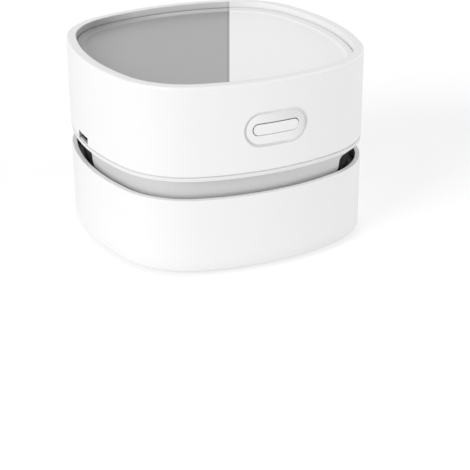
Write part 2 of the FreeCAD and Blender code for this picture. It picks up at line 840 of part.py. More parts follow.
def make_fan_housing():
    """Fan housing: deck with a guarded eye, twin scroll walls and four screw posts."""
    part = Moulding("fan_housing")
    part.pad_outline(nest_inset, deck_bottom, size.deck_thickness)
    part.pad_ring_outline(neck_inner_inset + size.slip_gap, size.lip_width, deck_top, size.lip_height)
    middle = [(zero, zero)]
    part.pad_circles(middle, size.eye_radius + size.eye_lip_wall, deck_top, size.eye_lip_height)
    part.pocket_circles(middle, size.eye_radius, deck_top + size.eye_lip_height,
                        size.deck_thickness + size.eye_lip_height)
    bar = part.sketch("XY_Plane", deck_bottom)
    reach = size.eye_radius + size.eye_lip_wall / 2
    draw_rectangle(bar, -reach, -size.guard_width / 2, reach, size.guard_width / 2)
    part.pattern([part.pad(bar, size.deck_thickness)], as_size(3))
    walls = part.sketch("XY_Plane", deck_top)
    scroll_x, scroll_y = around(size.scroll_offset, size.scroll_end_angle)
    growth = size.scroll_offset * cosine(size.scroll_end_angle - size.scroll_start_angle)
    scroll_radius = fan_radius + size.tongue_gap - growth + size.scroll_wall / 2
    draw_curved_slot(walls, scroll_x, scroll_y, scroll_radius, size.scroll_wall,
                     size.scroll_start_angle, size.scroll_end_angle)
    part.pattern([part.pad(walls, plate_bottom - deck_top)], as_size(2))
    part.pad_circles(post_places(), boss_radius, deck_top, plate_bottom - deck_top)
    part.pocket_screws(post_places(), plate_bottom, plate_bottom - deck_bottom,
                       deck_bottom + size.screw_head_height, size.screw_head_height)
    keep(part.body, "fan_housing")


def post_places():
    """The four places where the fan housing is screwed up into the motor plate."""
    angles = [first + turn for turn in (0, 180) for first in (size.post_first_angle, size.post_second_angle)]
    return [around(post_circle, angle) for angle in angles]


# ---------------------------------------------------------------- motor plate

def make_motor_plate():
    """Base of the upper unit: carries the motor, battery, charging board and both screw sets."""
    part = Moulding("motor_plate")
    seam_level = plate_top - size.seam_gap
    part.pad_outline(zero, plate_bottom, size.plate_thickness - size.seam_gap)
    part.pad_outline(size.seam_depth, seam_level, size.seam_gap)
    part.fillet_outline(plate_bottom, zero, size.seam_round)
    part.fillet_outline(seam_level, zero, size.seam_round / 2)
    lip_inset = size.upper_wall + size.slip_gap
    part.pad_ring_outline(lip_inset, size.lip_width, plate_top, size.lip_height)
    add_plate_collar(part)
    add_plate_bosses(part)
    add_cell_saddles(part)
    gap = part.sketch("XY_Plane", plate_top + size.lip_height)
    draw_rectangle(gap, -size.half_width, size.port_place - size.port_width / 2,
                   -size.half_width + size.port_width, size.port_place + size.port_width / 2)
    part.pocket(gap, size.lip_height)
    keep(part.body, "motor_plate")


def add_plate_collar(part):
    """Round wall that holds the motor in its damper, and the hole for the bushing."""
    wall = part.sketch("XY_Plane", plate_top)
    draw_circle(wall, zero, zero, collar_radius)
    draw_circle(wall, zero, zero, collar_bore)
    part.pad(wall, size.collar_height)
    part.pocket_circles([(zero, zero)], size.bushing_radius + size.slip_gap, plate_top,
                        size.plate_thickness)


def add_plate_bosses(part):
    """Screw bosses for the fan housing, holes for the case screws, board standoffs."""
    rise = size.case_screw_length
    part.pad_circles(post_places(), boss_radius, plate_top, rise)
    part.pocket_circles(post_places(), hole_radius, plate_top + rise - size.boss_wall,
                        rise - size.boss_wall + size.plate_thickness)
    head_screws = case_screw_places() + motor_screw_places()
    part.pocket_screws(head_screws, plate_top, size.plate_thickness,
                       plate_bottom + size.motor_head_sink, size.motor_head_sink)
    standoff_radius = boss_radius - size.boss_wall / 3
    part.pad_circles(charge_screw_places(), standoff_radius, plate_top, board_bottom - plate_top)
    part.pocket_circles(charge_screw_places(), hole_radius, board_bottom, board_bottom - plate_top)


def add_cell_saddles(part):
    """Two ribs with a round seat that hold the battery cell."""
    start = cell_place - size.cell_radius - size.saddle_margin
    end = cell_place + size.cell_radius + size.saddle_margin
    ribs = part.sketch("XY_Plane", plate_top)
    for side in (-1, 1):
        middle = size.saddle_place * side
        draw_rectangle(ribs, middle - size.saddle_width / 2, start, middle + size.saddle_width / 2, end)
    part.pad(ribs, size.cell_floor + size.cell_radius)
    seat = part.sketch("YZ_Plane", size.half_width)
    draw_circle(seat, cell_place, cell_level, size.cell_radius + size.slip_gap)
    part.pocket(seat, size.half_width * 2)


def charge_board_corner():
    """Corner of the charging board nearest the port, on its low-Y side."""
    return board_start, size.port_place - size.charge_board_width / 2


def charge_screw_places():
    """Screw places of the charging board, set in from its corners."""
    x, y = charge_board_corner()
    near = x + size.board_margin + size.socket_depth / 2
    far = x + charge_board_length - size.board_margin
    return [(along, across) for along in (near, far)
            for across in (y + size.board_margin, y + size.charge_board_width - size.board_margin)]


# ---------------------------------------------------------------- screws of the upper unit

def make_unit_screws():
    """Screws that hold the fan housing to the plate, and the plate to the upper shell."""
    seat = deck_bottom + size.screw_head_height
    tip = plate_top + size.case_screw_length - size.boss_wall - size.slip_gap
    keep_screws("housing_screws", post_places(), seat, tip - seat)
    keep_screws("case_screws", case_screw_places(),
                plate_bottom + size.motor_head_sink, size.case_screw_length)


# ---------------------------------------------------------------- motor and impeller

def make_motor():
    """Motor: can, bushing, end cap and terminals, its damper ring and its two screws."""
    bore = size.shaft_radius + size.shaft_gap
    can = add_cylinder("can_body", size.can_radius, size.can_height, zero, zero, plate_top)
    tools = [add_cylinder("can_bore", bore, size.can_height, zero, zero, plate_top)]
    for number, (x, y) in enumerate(motor_screw_places()):
        tools.append(add_cylinder(f"can_thread_{number}", hole_radius, size.motor_screw_length, x, y,
                                  plate_top))
    keep(cut_from("motor_can", can, tools), "motor_can")
    bushing_bottom = plate_top - size.bushing_length
    bushing = add_cylinder("bushing_body", size.bushing_radius, size.bushing_length, zero, zero,
                           bushing_bottom)
    hole = add_cylinder("bushing_bore", bore, size.bushing_length, zero, zero, bushing_bottom)
    keep(cut_from("motor_bushing", bushing, [hole]), "motor_bushing")
    cap_bottom = plate_top + size.can_height
    cap = add_cylinder("cap_body", size.end_cap_radius, size.end_cap_height, zero, zero, cap_bottom)
    cap_bore = add_cylinder("cap_bore", bore, size.end_cap_height / 2, zero, zero, cap_bottom)
    keep(cut_from("motor_end_cap", cap, [cap_bore]), "motor_end_cap")
    terminals = []
    for side in (-1, 1):
        terminals.append(add_box(f"terminal_{side + 1}", -size.terminal_width / 2,
                                 size.terminal_place * side - size.terminal_thickness / 2,
                                 cap_bottom + size.end_cap_height, size.terminal_width,
                                 size.terminal_thickness, size.terminal_height))
    keep_group(terminals, "motor_terminals")
    inner = size.can_radius + size.slip_gap
    damper = add_cylinder("damper_body", inner + size.damper_thickness, size.damper_height, zero, zero,
                          plate_top)
    damper_bore = add_cylinder("damper_bore", inner, size.damper_height, zero, zero, plate_top)
    keep(cut_from("motor_damper", damper, [damper_bore]), "motor_damper")
    length = size.plate_thickness - size.motor_head_sink + size.motor_screw_length - size.slip_gap
    keep_screws("motor_screws", motor_screw_places(), plate_bottom + size.motor_head_sink, length)


def case_screw_places():
    """Places of the four screws that hold the plate to the upper shell."""
    return quarter_places(case_screw_circle, size.case_screw_angle)


def motor_screw_places():
    """Places of the two screws that hold the motor to its plate."""
    return [(size.motor_screw_circle * side, zero) for side in (-1, 1)]


def make_impeller():
    """Impeller: disc and hub with backward-curved blades, on the motor shaft."""
    part = Moulding("impeller")
    disc_bottom = fan_top - size.fan_disc
    middle = [(zero, zero)]
    part.pad_circles(middle, fan_radius, disc_bottom, size.fan_disc)
    part.pad_circles(middle, size.fan_hub_radius, fan_bottom, disc_bottom - fan_bottom)
    part.pocket_circles(middle, size.shaft_radius + size.shaft_gap / 2, fan_top, fan_top - fan_bottom)
    blade = part.sketch("XY_Plane", fan_bottom)
    draw_curved_slot(blade, fan_radius * size.blade_place_share, zero,
                     fan_radius * size.blade_arc_share, size.blade_thickness,
                     size.blade_start_angle, size.blade_end_angle)
    part.pattern([part.pad(blade, disc_bottom - fan_bottom)], size.blade_count)
    keep(part.body, "impeller")
    shaft_bottom = fan_bottom + size.fan_gap / 2
    shaft_top = plate_top + size.can_height + size.end_cap_height / 2 - size.slip_gap
    shaft = add_cylinder("shaft", size.shaft_radius, shaft_top - shaft_bottom, zero, zero, shaft_bottom)
    keep(shaft, "motor_shaft")


# ---------------------------------------------------------------- battery and boards

def make_battery():
    """Battery cell lying behind the motor, with a welded tab at each end."""
    start = -size.cell_length / 2
    body = add_cylinder("cell_body", size.cell_radius, size.cell_length, start, cell_place,
                        cell_level, axis="x")
    nub = add_cylinder("cell_nub", size.cell_nub_radius, size.cell_nub_length, size.cell_length / 2,
                       cell_place, cell_level, axis="x")
    keep(fuse("battery_cell", [body, nub]), "battery_cell")
    tabs = []
    for name, x in (("minus", start - size.tab_thickness),
                    ("plus", size.cell_length / 2 + size.cell_nub_length)):
        tabs.append(add_box(f"tab_{name}", x, cell_place - size.tab_width / 2,
                            cell_level - size.tab_width / 2, size.tab_thickness, size.tab_width,
                            size.tab_width))
    keep_group(tabs, "battery_tabs")


def make_charge_board():
    """Charging board on its standoffs, with the socket hung under its outer edge."""
    x, y = charge_board_corner()
    board = add_box("charge_board_body", x, y, board_bottom, charge_board_length,
                    size.charge_board_width, size.board_thickness)
    holes = []
    for number, (along, across) in enumerate(charge_screw_places()):
        holes.append(add_cylinder(f"charge_hole_{number}", hole_radius, size.board_thickness, along,
                                  across, board_bottom))
    keep(cut_from("charge_board", board, holes), "charge_board")
    keep_screws("charge_screws", charge_screw_places(), board_bottom + size.board_thickness,
                size.board_thickness + size.socket_height - size.slip_gap, up=-1)
    front = -size.half_width + size.socket_sink
    left = size.port_place - size.socket_width / 2
    bottom = plate_top + size.slip_gap
    outer = add_box("socket_outer", front, left, bottom, size.socket_depth, size.socket_width,
                    size.socket_height)
    inner = add_box("socket_inner", front, left + size.socket_sheet, bottom + size.socket_sheet,
                    size.socket_depth - size.socket_sheet, size.socket_width - size.socket_sheet * 2,
                    size.socket_height - size.socket_sheet * 2)
    keep(cut_from("charge_socket", outer, [inner]), "charge_socket")
    tongue = add_box("socket_tongue_body", front + size.socket_sheet, left + size.socket_sheet * 4,
                     bottom + size.socket_height / 2 - size.tongue_thickness / 2,
                     size.socket_depth - size.socket_sheet * 2,
                     size.socket_width - size.socket_sheet * 8, size.tongue_thickness)
    keep(tongue, "socket_tongue")


def make_switch():
    """Switch board on its two bosses behind the button, with the push switch."""
    board_y = -switch_board_place
    board = add_box("switch_board_body", -size.switch_board_length / 2, board_y,
                    button_level - size.switch_board_height / 2, size.switch_board_length,
                    size.board_thickness, size.switch_board_height)
    holes = []
    screws = []
    for side in (-1, 1):
        x = size.switch_screw_place * side
        holes.append(add_cylinder(f"switch_hole_{side + 1}", hole_radius, size.board_thickness, x,
                                  board_y, button_level, axis="y"))
        screws.append(add_screw(f"switch_screw_{side + 1}", x, board_y + size.board_thickness,
                                button_level, size.board_thickness + size.switch_screw_length
                                - size.slip_gap, axis="y", up=-1))
    keep(cut_from("switch_board", board, holes), "switch_board")
    keep_group(screws, "switch_screws")
    case = add_box("switch_case", -size.switch_width / 2, board_y - size.switch_depth,
                   button_level - size.switch_width / 2, size.switch_width, size.switch_depth,
                   size.switch_width)
    bore = add_cylinder("switch_bore", size.plunger_radius + size.shaft_gap, size.switch_depth, zero,
                        board_y - size.switch_depth, button_level, axis="y")
    keep(cut_from("push_switch", case, [bore]), "push_switch")


def make_button():
    """Power button with its retaining flange and stem, and the switch plunger it pushes."""
    part = Moulding("power_button")
    flange_front = -size.half_width + size.button_boss_depth + size.slip_gap
    face = part.sketch("XZ_Plane", -flange_front)
    draw_pill(face, zero, button_level, size.button_length, size.button_height)
    part.pad(face, size.half_width + flange_front)
    trim = part.sketch("XY_Plane", button_level + size.button_height)
    draw_face_trim(trim, size.side_radius - size.button_sink)
    part.pocket(trim, size.button_height * 2)
    part.round_edges(is_button_face_edge, size.button_round)
    flange = part.sketch("XZ_Plane", -flange_front)
    draw_pill(flange, zero, button_level, size.button_length + size.flange_margin * 2,
              size.button_height + size.flange_margin * 2)
    part.pad(flange, size.flange_thickness, backwards=True)
    stem_end = -switch_board_place - size.switch_depth - size.plunger_rise
    flange_back = flange_front + size.flange_thickness
    stem = part.sketch("XZ_Plane", -flange_back)
    draw_circle(stem, zero, button_level, size.stem_radius)
    part.pad(stem, stem_end - flange_back, backwards=True)
    keep(part.body, "power_button")
    plunger = add_cylinder("plunger", size.plunger_radius, size.plunger_length, zero, stem_end,
                           button_level, axis="y")
    keep(plunger, "switch_plunger")


def draw_face_trim(sketch, radius):
    """Area outside an arc that is concentric with the bowed -Y side."""
    centre = size.side_radius - size.half_width
    reach = size.button_length
    depth = math.sqrt(radius.value ** 2 - reach.value ** 2)
    spread = math.degrees(math.asin(reach.value / radius.value))
    arc = add_arc(sketch, 0, centre.value, radius.value, 270 - spread, 270 + spread)
    far = -(size.half_width + size.button_length)
    ends = ((reach.value, centre.value - depth), (reach.value, far.value),
            (-reach.value, far.value), (-reach.value, centre.value - depth))
    points = [FreeCAD.Vector(x, y, 0) for x, y in ends]
    lines = [sketch.addGeometry(Part.LineSegment(start, end))
             for start, end in zip(points, points[1:])]
    shapes = [arc] + lines
    for shape, following in zip(shapes, shapes[1:] + shapes[:1]):
        sketch.addConstraint(Sketcher.Constraint("Coincident", shape, 2, following, 1))
    sketch.addConstraint(Sketcher.Constraint("Vertical", lines[0]))
    sketch.addConstraint(Sketcher.Constraint("Vertical", lines[2]))
    fix_point(sketch, arc, 3, zero, centre)
    constrain(sketch, "Radius", arc, to=radius)
    fix_point(sketch, lines[0], 2, reach, far)
    fix_point(sketch, lines[1], 2, -reach, far)


def is_button_face_edge(edge):
    """True for the edges round the button's front face."""
    box = edge.BoundBox
    front = -(size.half_width - size.button_sink).value
    sag = size.button_length.value ** 2 / 8 / size.side_radius.value * 1.3
    return box.YMax < front + sag


# ---------------------------------------------------------------- upper shell and panel

def make_upper_shell():
    """Upper shell: bowed walls, recessed top, button bezel, port and inner bosses."""
    part = Moulding("upper_shell")
    part.pad_outline(zero, plate_top, size.upper_height)
    part.fillet_outline(upper_top, zero, size.top_round)
    part.fillet_outline(plate_top, zero, size.seam_round)
    part.pocket_outline(size.rim_width, upper_top, size.recess_depth)
    part.fillet_outline(upper_top, size.rim_width, size.rim_inner_round)
    cavity = part.sketch("XY_Plane", plate_top)
    draw_outline(cavity, size.upper_wall)
    part.pocket(cavity, roof_bottom - plate_top, backwards=True)
    bosses = case_screw_places()
    part.pad_circles(bosses, boss_radius, plate_top, roof_bottom - plate_top)
    part.pocket_circles(bosses, hole_radius, plate_top + size.case_screw_length,
                        size.case_screw_length)
    add_button_seat(part)
    port = part.sketch("XY_Plane", plate_top + size.port_height)
    draw_rectangle(port, -size.half_width - size.port_height, size.port_place - size.port_width / 2,
                   -size.half_width + size.upper_wall * 2, size.port_place + size.port_width / 2)
    part.pocket(port, size.port_height)
    keep(part.body, "upper_shell")


def add_button_seat(part):
    """Inner pad, switch board bosses, button slot and the grooved bezel round it."""
    back = size.half_width - size.button_boss_depth
    seat = part.sketch("XZ_Plane", back)
    draw_pill(seat, zero, button_level, size.bezel_length + size.seat_margin * 2,
              size.bezel_height + size.seat_margin * 2)
    part.pad(seat, size.button_boss_depth / 2)
    bosses = part.sketch("XZ_Plane", switch_board_place)
    holes = part.sketch("XZ_Plane", switch_board_place)
    for side in (-1, 1):
        draw_circle(bosses, size.switch_screw_place * side, button_level, boss_radius)
        draw_circle(holes, size.switch_screw_place * side, button_level, hole_radius)
    part.pad(bosses, back + size.upper_wall / 2 - switch_board_place)
    part.pocket(holes, size.switch_screw_length, backwards=True)
    slot = part.sketch("XZ_Plane", back - size.slip_gap)
    draw_pill(slot, zero, button_level, size.button_length + size.button_gap * 2,
              size.button_height + size.button_gap * 2)
    part.pocket(slot, size.half_width, backwards=True)
    part.subtract(make_bezel_groove())
    part.round_edges(is_bezel_edge, size.bezel_round)


def make_bezel_groove():
    """Ring that cuts the groove round the bezel to an even depth in the bowed wall."""
    ring = Moulding("bezel_groove")
    loops = ring.sketch("XZ_Plane", size.half_width - size.button_boss_depth)
    for growth in (zero, size.groove_width * 2):
        draw_pill(loops, zero, button_level, size.bezel_length + growth,
                  size.bezel_height + growth)
    ring.pad(loops, size.button_boss_depth * 2)
    bowed = ring.sketch("XY_Plane", button_level + size.bezel_height)
    draw_circle(bowed, zero, size.side_radius - size.half_width,
                size.side_radius - size.groove_depth)
    ring.pocket(bowed, size.bezel_height * 2)
    return ring


def is_bezel_edge(edge):
    """True for the bezel's inner and outer edges, which lie on the bowed -Y face."""
    box = edge.BoundBox
    reach = (size.bezel_length / 2).value + 1e-3
    rise = (size.bezel_height / 2).value + 1e-3
    level = button_level.value
    centre = (size.side_radius - size.half_width).value
    on_face = all(abs(math.hypot(vertex.X, vertex.Y - centre) - size.side_radius.value) < 1e-3
                  for vertex in edge.Vertexes)
    return on_face and box.XMin > -reach and box.XMax < reach \
        and box.ZMin > level - rise and box.ZMax < level + rise


def make_top_panel():
    """Recessed top panel with a raised edge that slopes down to its flat middle."""
    part = Moulding("top_panel")
    inset = size.rim_width + size.panel_gap
    part.pad_outline(inset, panel_bottom, size.panel_thickness)
    dish = part.sketch("XY_Plane", panel_bottom + size.panel_thickness)
    draw_outline(dish, inset + size.panel_lip)
    slope = part.pocket(dish, size.panel_dish_depth)
    slope.setExpression("TaperAngle", (-size.panel_slope_angle).text)
    document.recompute()
    keep(part.body, "top_panel")


# ---------------------------------------------------------------- build and write

def check_document():
    """Stops if any object failed or any finished sub-part is not a valid solid."""
    for item in document.Objects:
        if "Invalid" in item.State or "Error" in item.State:
            raise RuntimeError(f"{item.Name} failed: {item.State}")
    for item in nodes:
        shape = item.Shape
        if shape.isNull() or not shape.isValid() or not shape.Solids:
            raise RuntimeError(f"{item.Label} is not a valid solid")


for make in (make_lower_shell, make_brush, make_feet, make_filter, make_neck_ring,
             make_exhaust_screens, make_fan_housing, make_motor_plate, make_unit_screws,
             make_motor, make_impeller, make_battery, make_charge_board, make_switch,
             make_button, make_upper_shell, make_top_panel):
    make()
document.recompute()
check_document()
os.makedirs("parts", exist_ok=True)
for node in nodes:
    node.Shape.exportStep(f"parts/{node.Label}.step")
    print(node.Label, len(node.Shape.Solids), round(node.Shape.Volume, 2))
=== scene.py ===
"""Looks of a palm-sized desk vacuum cleaner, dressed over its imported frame.

Lengths are in millimetres in the classes and turn to metres where a mesh or a material is made.
+Z is up, the power button faces -Y and the charging port faces -X.
"""

import logging
import math
import random
from collections.abc import Iterable, Sequence
from dataclasses import dataclass
from enum import Enum
from functools import reduce

import bmesh
import bpy
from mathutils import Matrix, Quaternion, Vector


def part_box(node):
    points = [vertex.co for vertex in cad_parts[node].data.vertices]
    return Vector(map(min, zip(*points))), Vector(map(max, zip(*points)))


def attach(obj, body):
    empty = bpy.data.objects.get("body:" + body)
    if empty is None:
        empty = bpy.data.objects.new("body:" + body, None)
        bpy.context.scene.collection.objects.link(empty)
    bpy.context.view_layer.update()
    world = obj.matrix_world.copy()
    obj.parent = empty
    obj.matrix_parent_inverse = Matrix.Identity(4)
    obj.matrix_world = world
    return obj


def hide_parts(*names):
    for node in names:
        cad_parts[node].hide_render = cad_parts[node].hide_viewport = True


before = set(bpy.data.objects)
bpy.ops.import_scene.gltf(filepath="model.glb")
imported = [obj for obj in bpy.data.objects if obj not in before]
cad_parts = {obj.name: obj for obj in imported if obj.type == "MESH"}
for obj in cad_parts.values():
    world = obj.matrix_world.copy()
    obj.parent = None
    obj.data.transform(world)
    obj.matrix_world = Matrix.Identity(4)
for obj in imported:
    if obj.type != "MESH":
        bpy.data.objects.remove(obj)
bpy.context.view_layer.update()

MM = 0.001
Point = tuple[float, float, float]
Pair = tuple[float, float]
Row = Sequence[bmesh.types.BMVert]
Node = bpy.types.Node
Feed = Node | bpy.types.NodeSocket | float | Sequence[float]
log = logging.getLogger("desk_vacuum")


class Body(Enum):
    """What moves as one."""

    DUST_BOX = "dust_box"
    FILTER = "filter"
    MOTOR_UNIT = "motor_unit"
    FAN = "fan"
    BUTTON = "button"


# ---- colours and nodes

def linear(tone: str) -> tuple[float, float, float, float]:
    """Turns an sRGB hex colour into linear light.

    Args:
        tone: The colour, such as "#f4f4f2".

    Returns:
        Red, green, blue and an alpha of 1.
    """
    channels = [int(tone[start:start + 2], 16) / 255 for start in (1, 3, 5)]
    light = [c / 12.92 if c <= 0.04045 else ((c + 0.055) / 1.055) ** 2.4 for c in channels]
    return light[0], light[1], light[2], 1.0


def per_mm(size: float) -> float:
    """Pattern scale, in repeats per metre, of a feature of this many millimetres."""
    return 1 / (size * MM)


class Graph:
    """The node tree of a material or a world in the making."""

    def __init__(self, owner: bpy.types.Material | bpy.types.World) -> None:
        """Starts with an empty tree.

        Args:
            owner: What the tree belongs to.
        """
        owner.use_nodes = True
        self.tree = owner.node_tree
        self.tree.nodes.clear()

    def add(self, kind: str, settings: dict | None = None, *feeds: Feed) -> Node:
        """Adds a node with its settings and its links.

        Args:
            kind: The name of the node's type, after ShaderNode.
            settings: A value or a feed by the name of a property, or by the name or number of an
                input. A node feeds its first output that is in use.
            feeds: What feeds the first inputs, in order.

        Returns:
            The new node.
        """
        made = self.tree.nodes.new(f"ShaderNode{kind}")
        for key, value in {**(settings or {}), **dict(enumerate(feeds))}.items():
            if isinstance(value, Node):
                value = next(socket for socket in value.outputs if socket.enabled)
            if isinstance(value, bpy.types.NodeSocket):
                self.tree.links.new(value, made.inputs[key])
            elif isinstance(key, str) and hasattr(made, key):
                setattr(made, key, value)
            else:
                made.inputs[key].default_value = value
        return made

    def product(self, *shares: Feed) -> Feed:
        """Joins shares from 0 to 1 by multiplying them."""
        return reduce(lambda one, other: self.add("Math", {"operation": "MULTIPLY"}, one, other),
                      shares)


class Skin(Graph):
    """The surface of a finish in the making: even at first, then patterned and tinted."""

    def __init__(self, finish: "Finish", material: bpy.types.Material) -> None:
        """Starts with the even surface.

        Args:
            finish: The finish.
            material: The material that gets the surface.
        """
        super().__init__(material)
        self.finish = finish
        self.place = self.add("TexCoord").outputs["Object"]
        self.looks = {"Base Color": linear(finish.tone), "Roughness": finish.roughness,
                      "Metallic": finish.metallic, "Specular IOR Level": finish.shine}
        if finish.metallic < 1:
            self.looks["IOR"] = finish.ior

    def vary(self, pattern: Feed, shade: float, dullness: float) -> None:
        """Lets a pattern from 0 to 1 change the colour and the roughness a little.

        Args:
            pattern: The pattern.
            shade: How much darker the colour gets where the pattern is 0.
            dullness: How far the roughness moves to either side.
        """
        colour, rough = linear(self.finish.tone), self.finish.roughness
        dark = tuple(c * (1 - shade) for c in colour[:3]) + (1.0,)
        self.looks["Base Color"] = self.add("Mix", {
            "data_type": "RGBA", 0: pattern, 6: dark, 7: colour})
        self.looks["Roughness"] = self.add("MapRange", {
            "To Min": rough - dullness, "To Max": rough + dullness}, pattern)

    def lift(self, pattern: Feed, height: float, strength: float) -> None:
        """Lets a pattern raise the surface, on top of what raises it already.

        Args:
            pattern: The pattern.
            height: How high it stands, in millimetres.
            strength: How much of that height shows.
        """
        under = {"Normal": self.looks["Normal"]} if "Normal" in self.looks else {}
        self.looks["Normal"] = self.add("Bump", {
            "Height": pattern, "Distance": height * MM, "Strength": strength, **under})

    def tint(self, colour: Feed | str, *shares: Feed) -> None:
        """Covers the surface with a colour.

        Args:
            colour: The colour, as a hex value or as a node.
            shares: How much of it covers the surface, from 0 to 1; they are multiplied.
        """
        self.looks["Base Color"] = self.add("Mix", {
            "data_type": "RGBA", 0: self.product(*shares), 6: self.looks["Base Color"],
            7: linear(colour) if isinstance(colour, str) else colour})

    def inside(self, spans: Sequence[Pair]) -> Feed:
        """Finds the places in a box.

        Args:
            spans: The box's reach along X, Y and Z.

        Returns:
            1 in the box and 0 elsewhere.
        """
        axes = self.add("SeparateXYZ", {}, self.place).outputs
        return self.product(*(
            self.add("Math", {"operation": "COMPARE"}, axis, (low + high) / 2 * MM,
                     (high - low) / 2 * MM) for axis, (low, high) in zip(axes, spans)))


# ---- finishes

@dataclass(frozen=True)
class Finish:
    """A real material and how its surface was made."""

    name: str
    tone: str
    roughness: float = 0.5
    metallic: float = 0.0
    ior: float = 1.5
    shine: float = 0.5
    grain: float = 0.5

    def make(self) -> bpy.types.Material:
        """Makes the finish as a Blender material, once.

        Returns:
            The material.
        """
        material = bpy.data.materials.get(self.name)
        if material is None:
            material = bpy.data.materials.new(self.name)
            skin = Skin(self, material)
            self.detail(skin)
            skin.add("OutputMaterial", {}, self.shade(skin))
        return material

    def detail(self, skin: Skin) -> None:
        """Adds what the surface shows close up; a plain one shows its fine grain.

        Args:
            skin: The surface that gets it.
        """
        grain = skin.add("TexNoise", {"Scale": per_mm(self.grain), "Detail": 3.0}, skin.place)
        skin.vary(grain, shade=0.04, dullness=0.03)
        skin.lift(grain, height=0.006, strength=0.2)

    def shade(self, skin: Skin) -> Node:
        """The shader of the surface, once all detail is on it."""
        return skin.add("BsdfPrincipled", skin.looks)


@dataclass(frozen=True)
class MouldedPlastic(Finish):
    """Injection-moulded plastic, ABS if nothing else is said."""

    # an even satin skin: plastics reflect alike (IOR 1.49 to 1.54), and the very fine
    # spark-eroded grain of the mould makes the sheen broad
    ior: float = 1.54
    roughness: float = 0.36
    grain: float = 0.18
    flow: float = 22.0

    def detail(self, skin: Skin) -> None:
        """Adds the fine grain of the mould and the slow waviness of a cooled wall.

        Args:
            skin: The surface that gets them.
        """
        waves, grain = (skin.add("TexNoise", {"Scale": per_mm(size), "Detail": 2.0}, skin.place)
                        for size in (self.flow, self.grain))
        skin.vary(waves, shade=0.012, dullness=0.035)
        skin.lift(waves, height=0.05, strength=0.25)
        skin.lift(grain, height=0.003, strength=0.25)


@dataclass(frozen=True)
class PortedAbs(MouldedPlastic):
    """White base plate whose top is the floor of the charging port."""

    # that floor is darkened with painted shade, as little light gets into the port
    port_floor_shade: str = "#b2b2b2"
    port: tuple[Pair, ...] = ((-50.0, -41.0), (-2.4, 6.8), (32.45, 40.0))

    def detail(self, skin: Skin) -> None:
        """Adds painted shade on the floor of the port to the grain of the plain moulding."""
        super().detail(skin)
        skin.tint(self.port_floor_shade, skin.inside(self.port))


@dataclass(frozen=True)
class PaintedReflectionAbs(MouldedPlastic):
    """Moulded ABS in white, with a painted reflection: one side of a straight line painted grey.
    """

    # the grey side is a painted reflection, laid along a straight line that runs with the camera's
    # line of sight, and the far grey is painted shade from the left wall; both tones have the same
    # satin skin; the tones are those of the far grey, the grey, the line itself and the pale side
    tones: tuple[str, ...] = ("#9d9d9d", "#a6a6a6", "#8d8d8d", "#ffffff")
    far_grey_to: float = 0.02
    grey_from: float = 0.15
    lean: float = 0.481
    start: float = 5.5
    reach: float = 50.0
    line_width: float = 0.35

    def split(self, skin: Skin, tones: Sequence[str], grey_from: float) -> Node:
        """Adds the painted reflection: the tones on the two sides of the line.

        Args:
            skin: The surface that gets them.
            tones: Far grey, grey, the line itself and the pale side.
            grey_from: Place across the line where the far grey has turned to grey, from 0 to
                1 with the line at 0.5.

        Returns:
            The colour.
        """
        across = skin.add("VectorMath", {"operation": "DOT_PRODUCT", 1: (1.0, -self.lean, 0.0)},
                          skin.place)
        share = skin.add("MapRange", {"From Min": (self.start - self.reach) * MM,
                                      "From Max": (self.start + self.reach) * MM}, across)
        ramp = skin.add("ValToRGB", {}, share)
        stops = ramp.color_ramp.elements
        far_grey, grey, line, pale = (linear(tone) for tone in tones)
        stops[0].position, stops[0].color = self.far_grey_to, far_grey
        stops[1].position, stops[1].color = 1.0, pale
        width = self.line_width / self.reach / 2
        for position, tone in ((grey_from, grey), (0.5 - width * 2, grey), (0.5 - width, line),
                               (0.5, line), (0.5 + width / 2, pale)):
            stops.new(position).color = tone
        return ramp


@dataclass(frozen=True)
class PaintedReflectionPanel(PaintedReflectionAbs):
    """The recessed panel: a painted reflection on its floor, and painted light and shade on a
    sloped margin under a thin lip.
    """

    # painted light and shade: on the grey side the slope is painted paler than the floor, a
    # painted highlight from above, and on the white side darker, painted shade; the sharp lip is
    # painted as a thin dark line of shade
    slope_tones: tuple[str, ...] = ("#8e8e8e", "#c6c6c6", "#b0b0b0", "#e9e9e9")
    slope_grey_from: float = 0.26
    slope_levels: Pair = (57.2, 57.62)
    lip_tones: tuple[str, ...] = ("#787878", "#888888", "#8c8c8c", "#dadada")
    lip_levels: Pair = (57.98, 58.16)

    def detail(self, skin: Skin) -> None:
        """Adds the painted reflection on the floor and the painted light and shade on the slope
        and the lip.

        Args:
            skin: The surface that gets them.
        """
        super().detail(skin)
        skin.tint(self.split(skin, self.tones, self.grey_from), 1.0)
        level = skin.add("SeparateXYZ", {}, skin.place).outputs["Z"]
        for tones, grey_from, (low, high) in (
                (self.slope_tones, self.slope_grey_from, self.slope_levels),
                (self.lip_tones, self.grey_from, self.lip_levels)):
            rise = skin.add("MapRange", {"interpolation_type": "SMOOTHSTEP",
                                         "From Min": low * MM, "From Max": high * MM}, level)
            skin.tint(self.split(skin, tones, grey_from), rise)


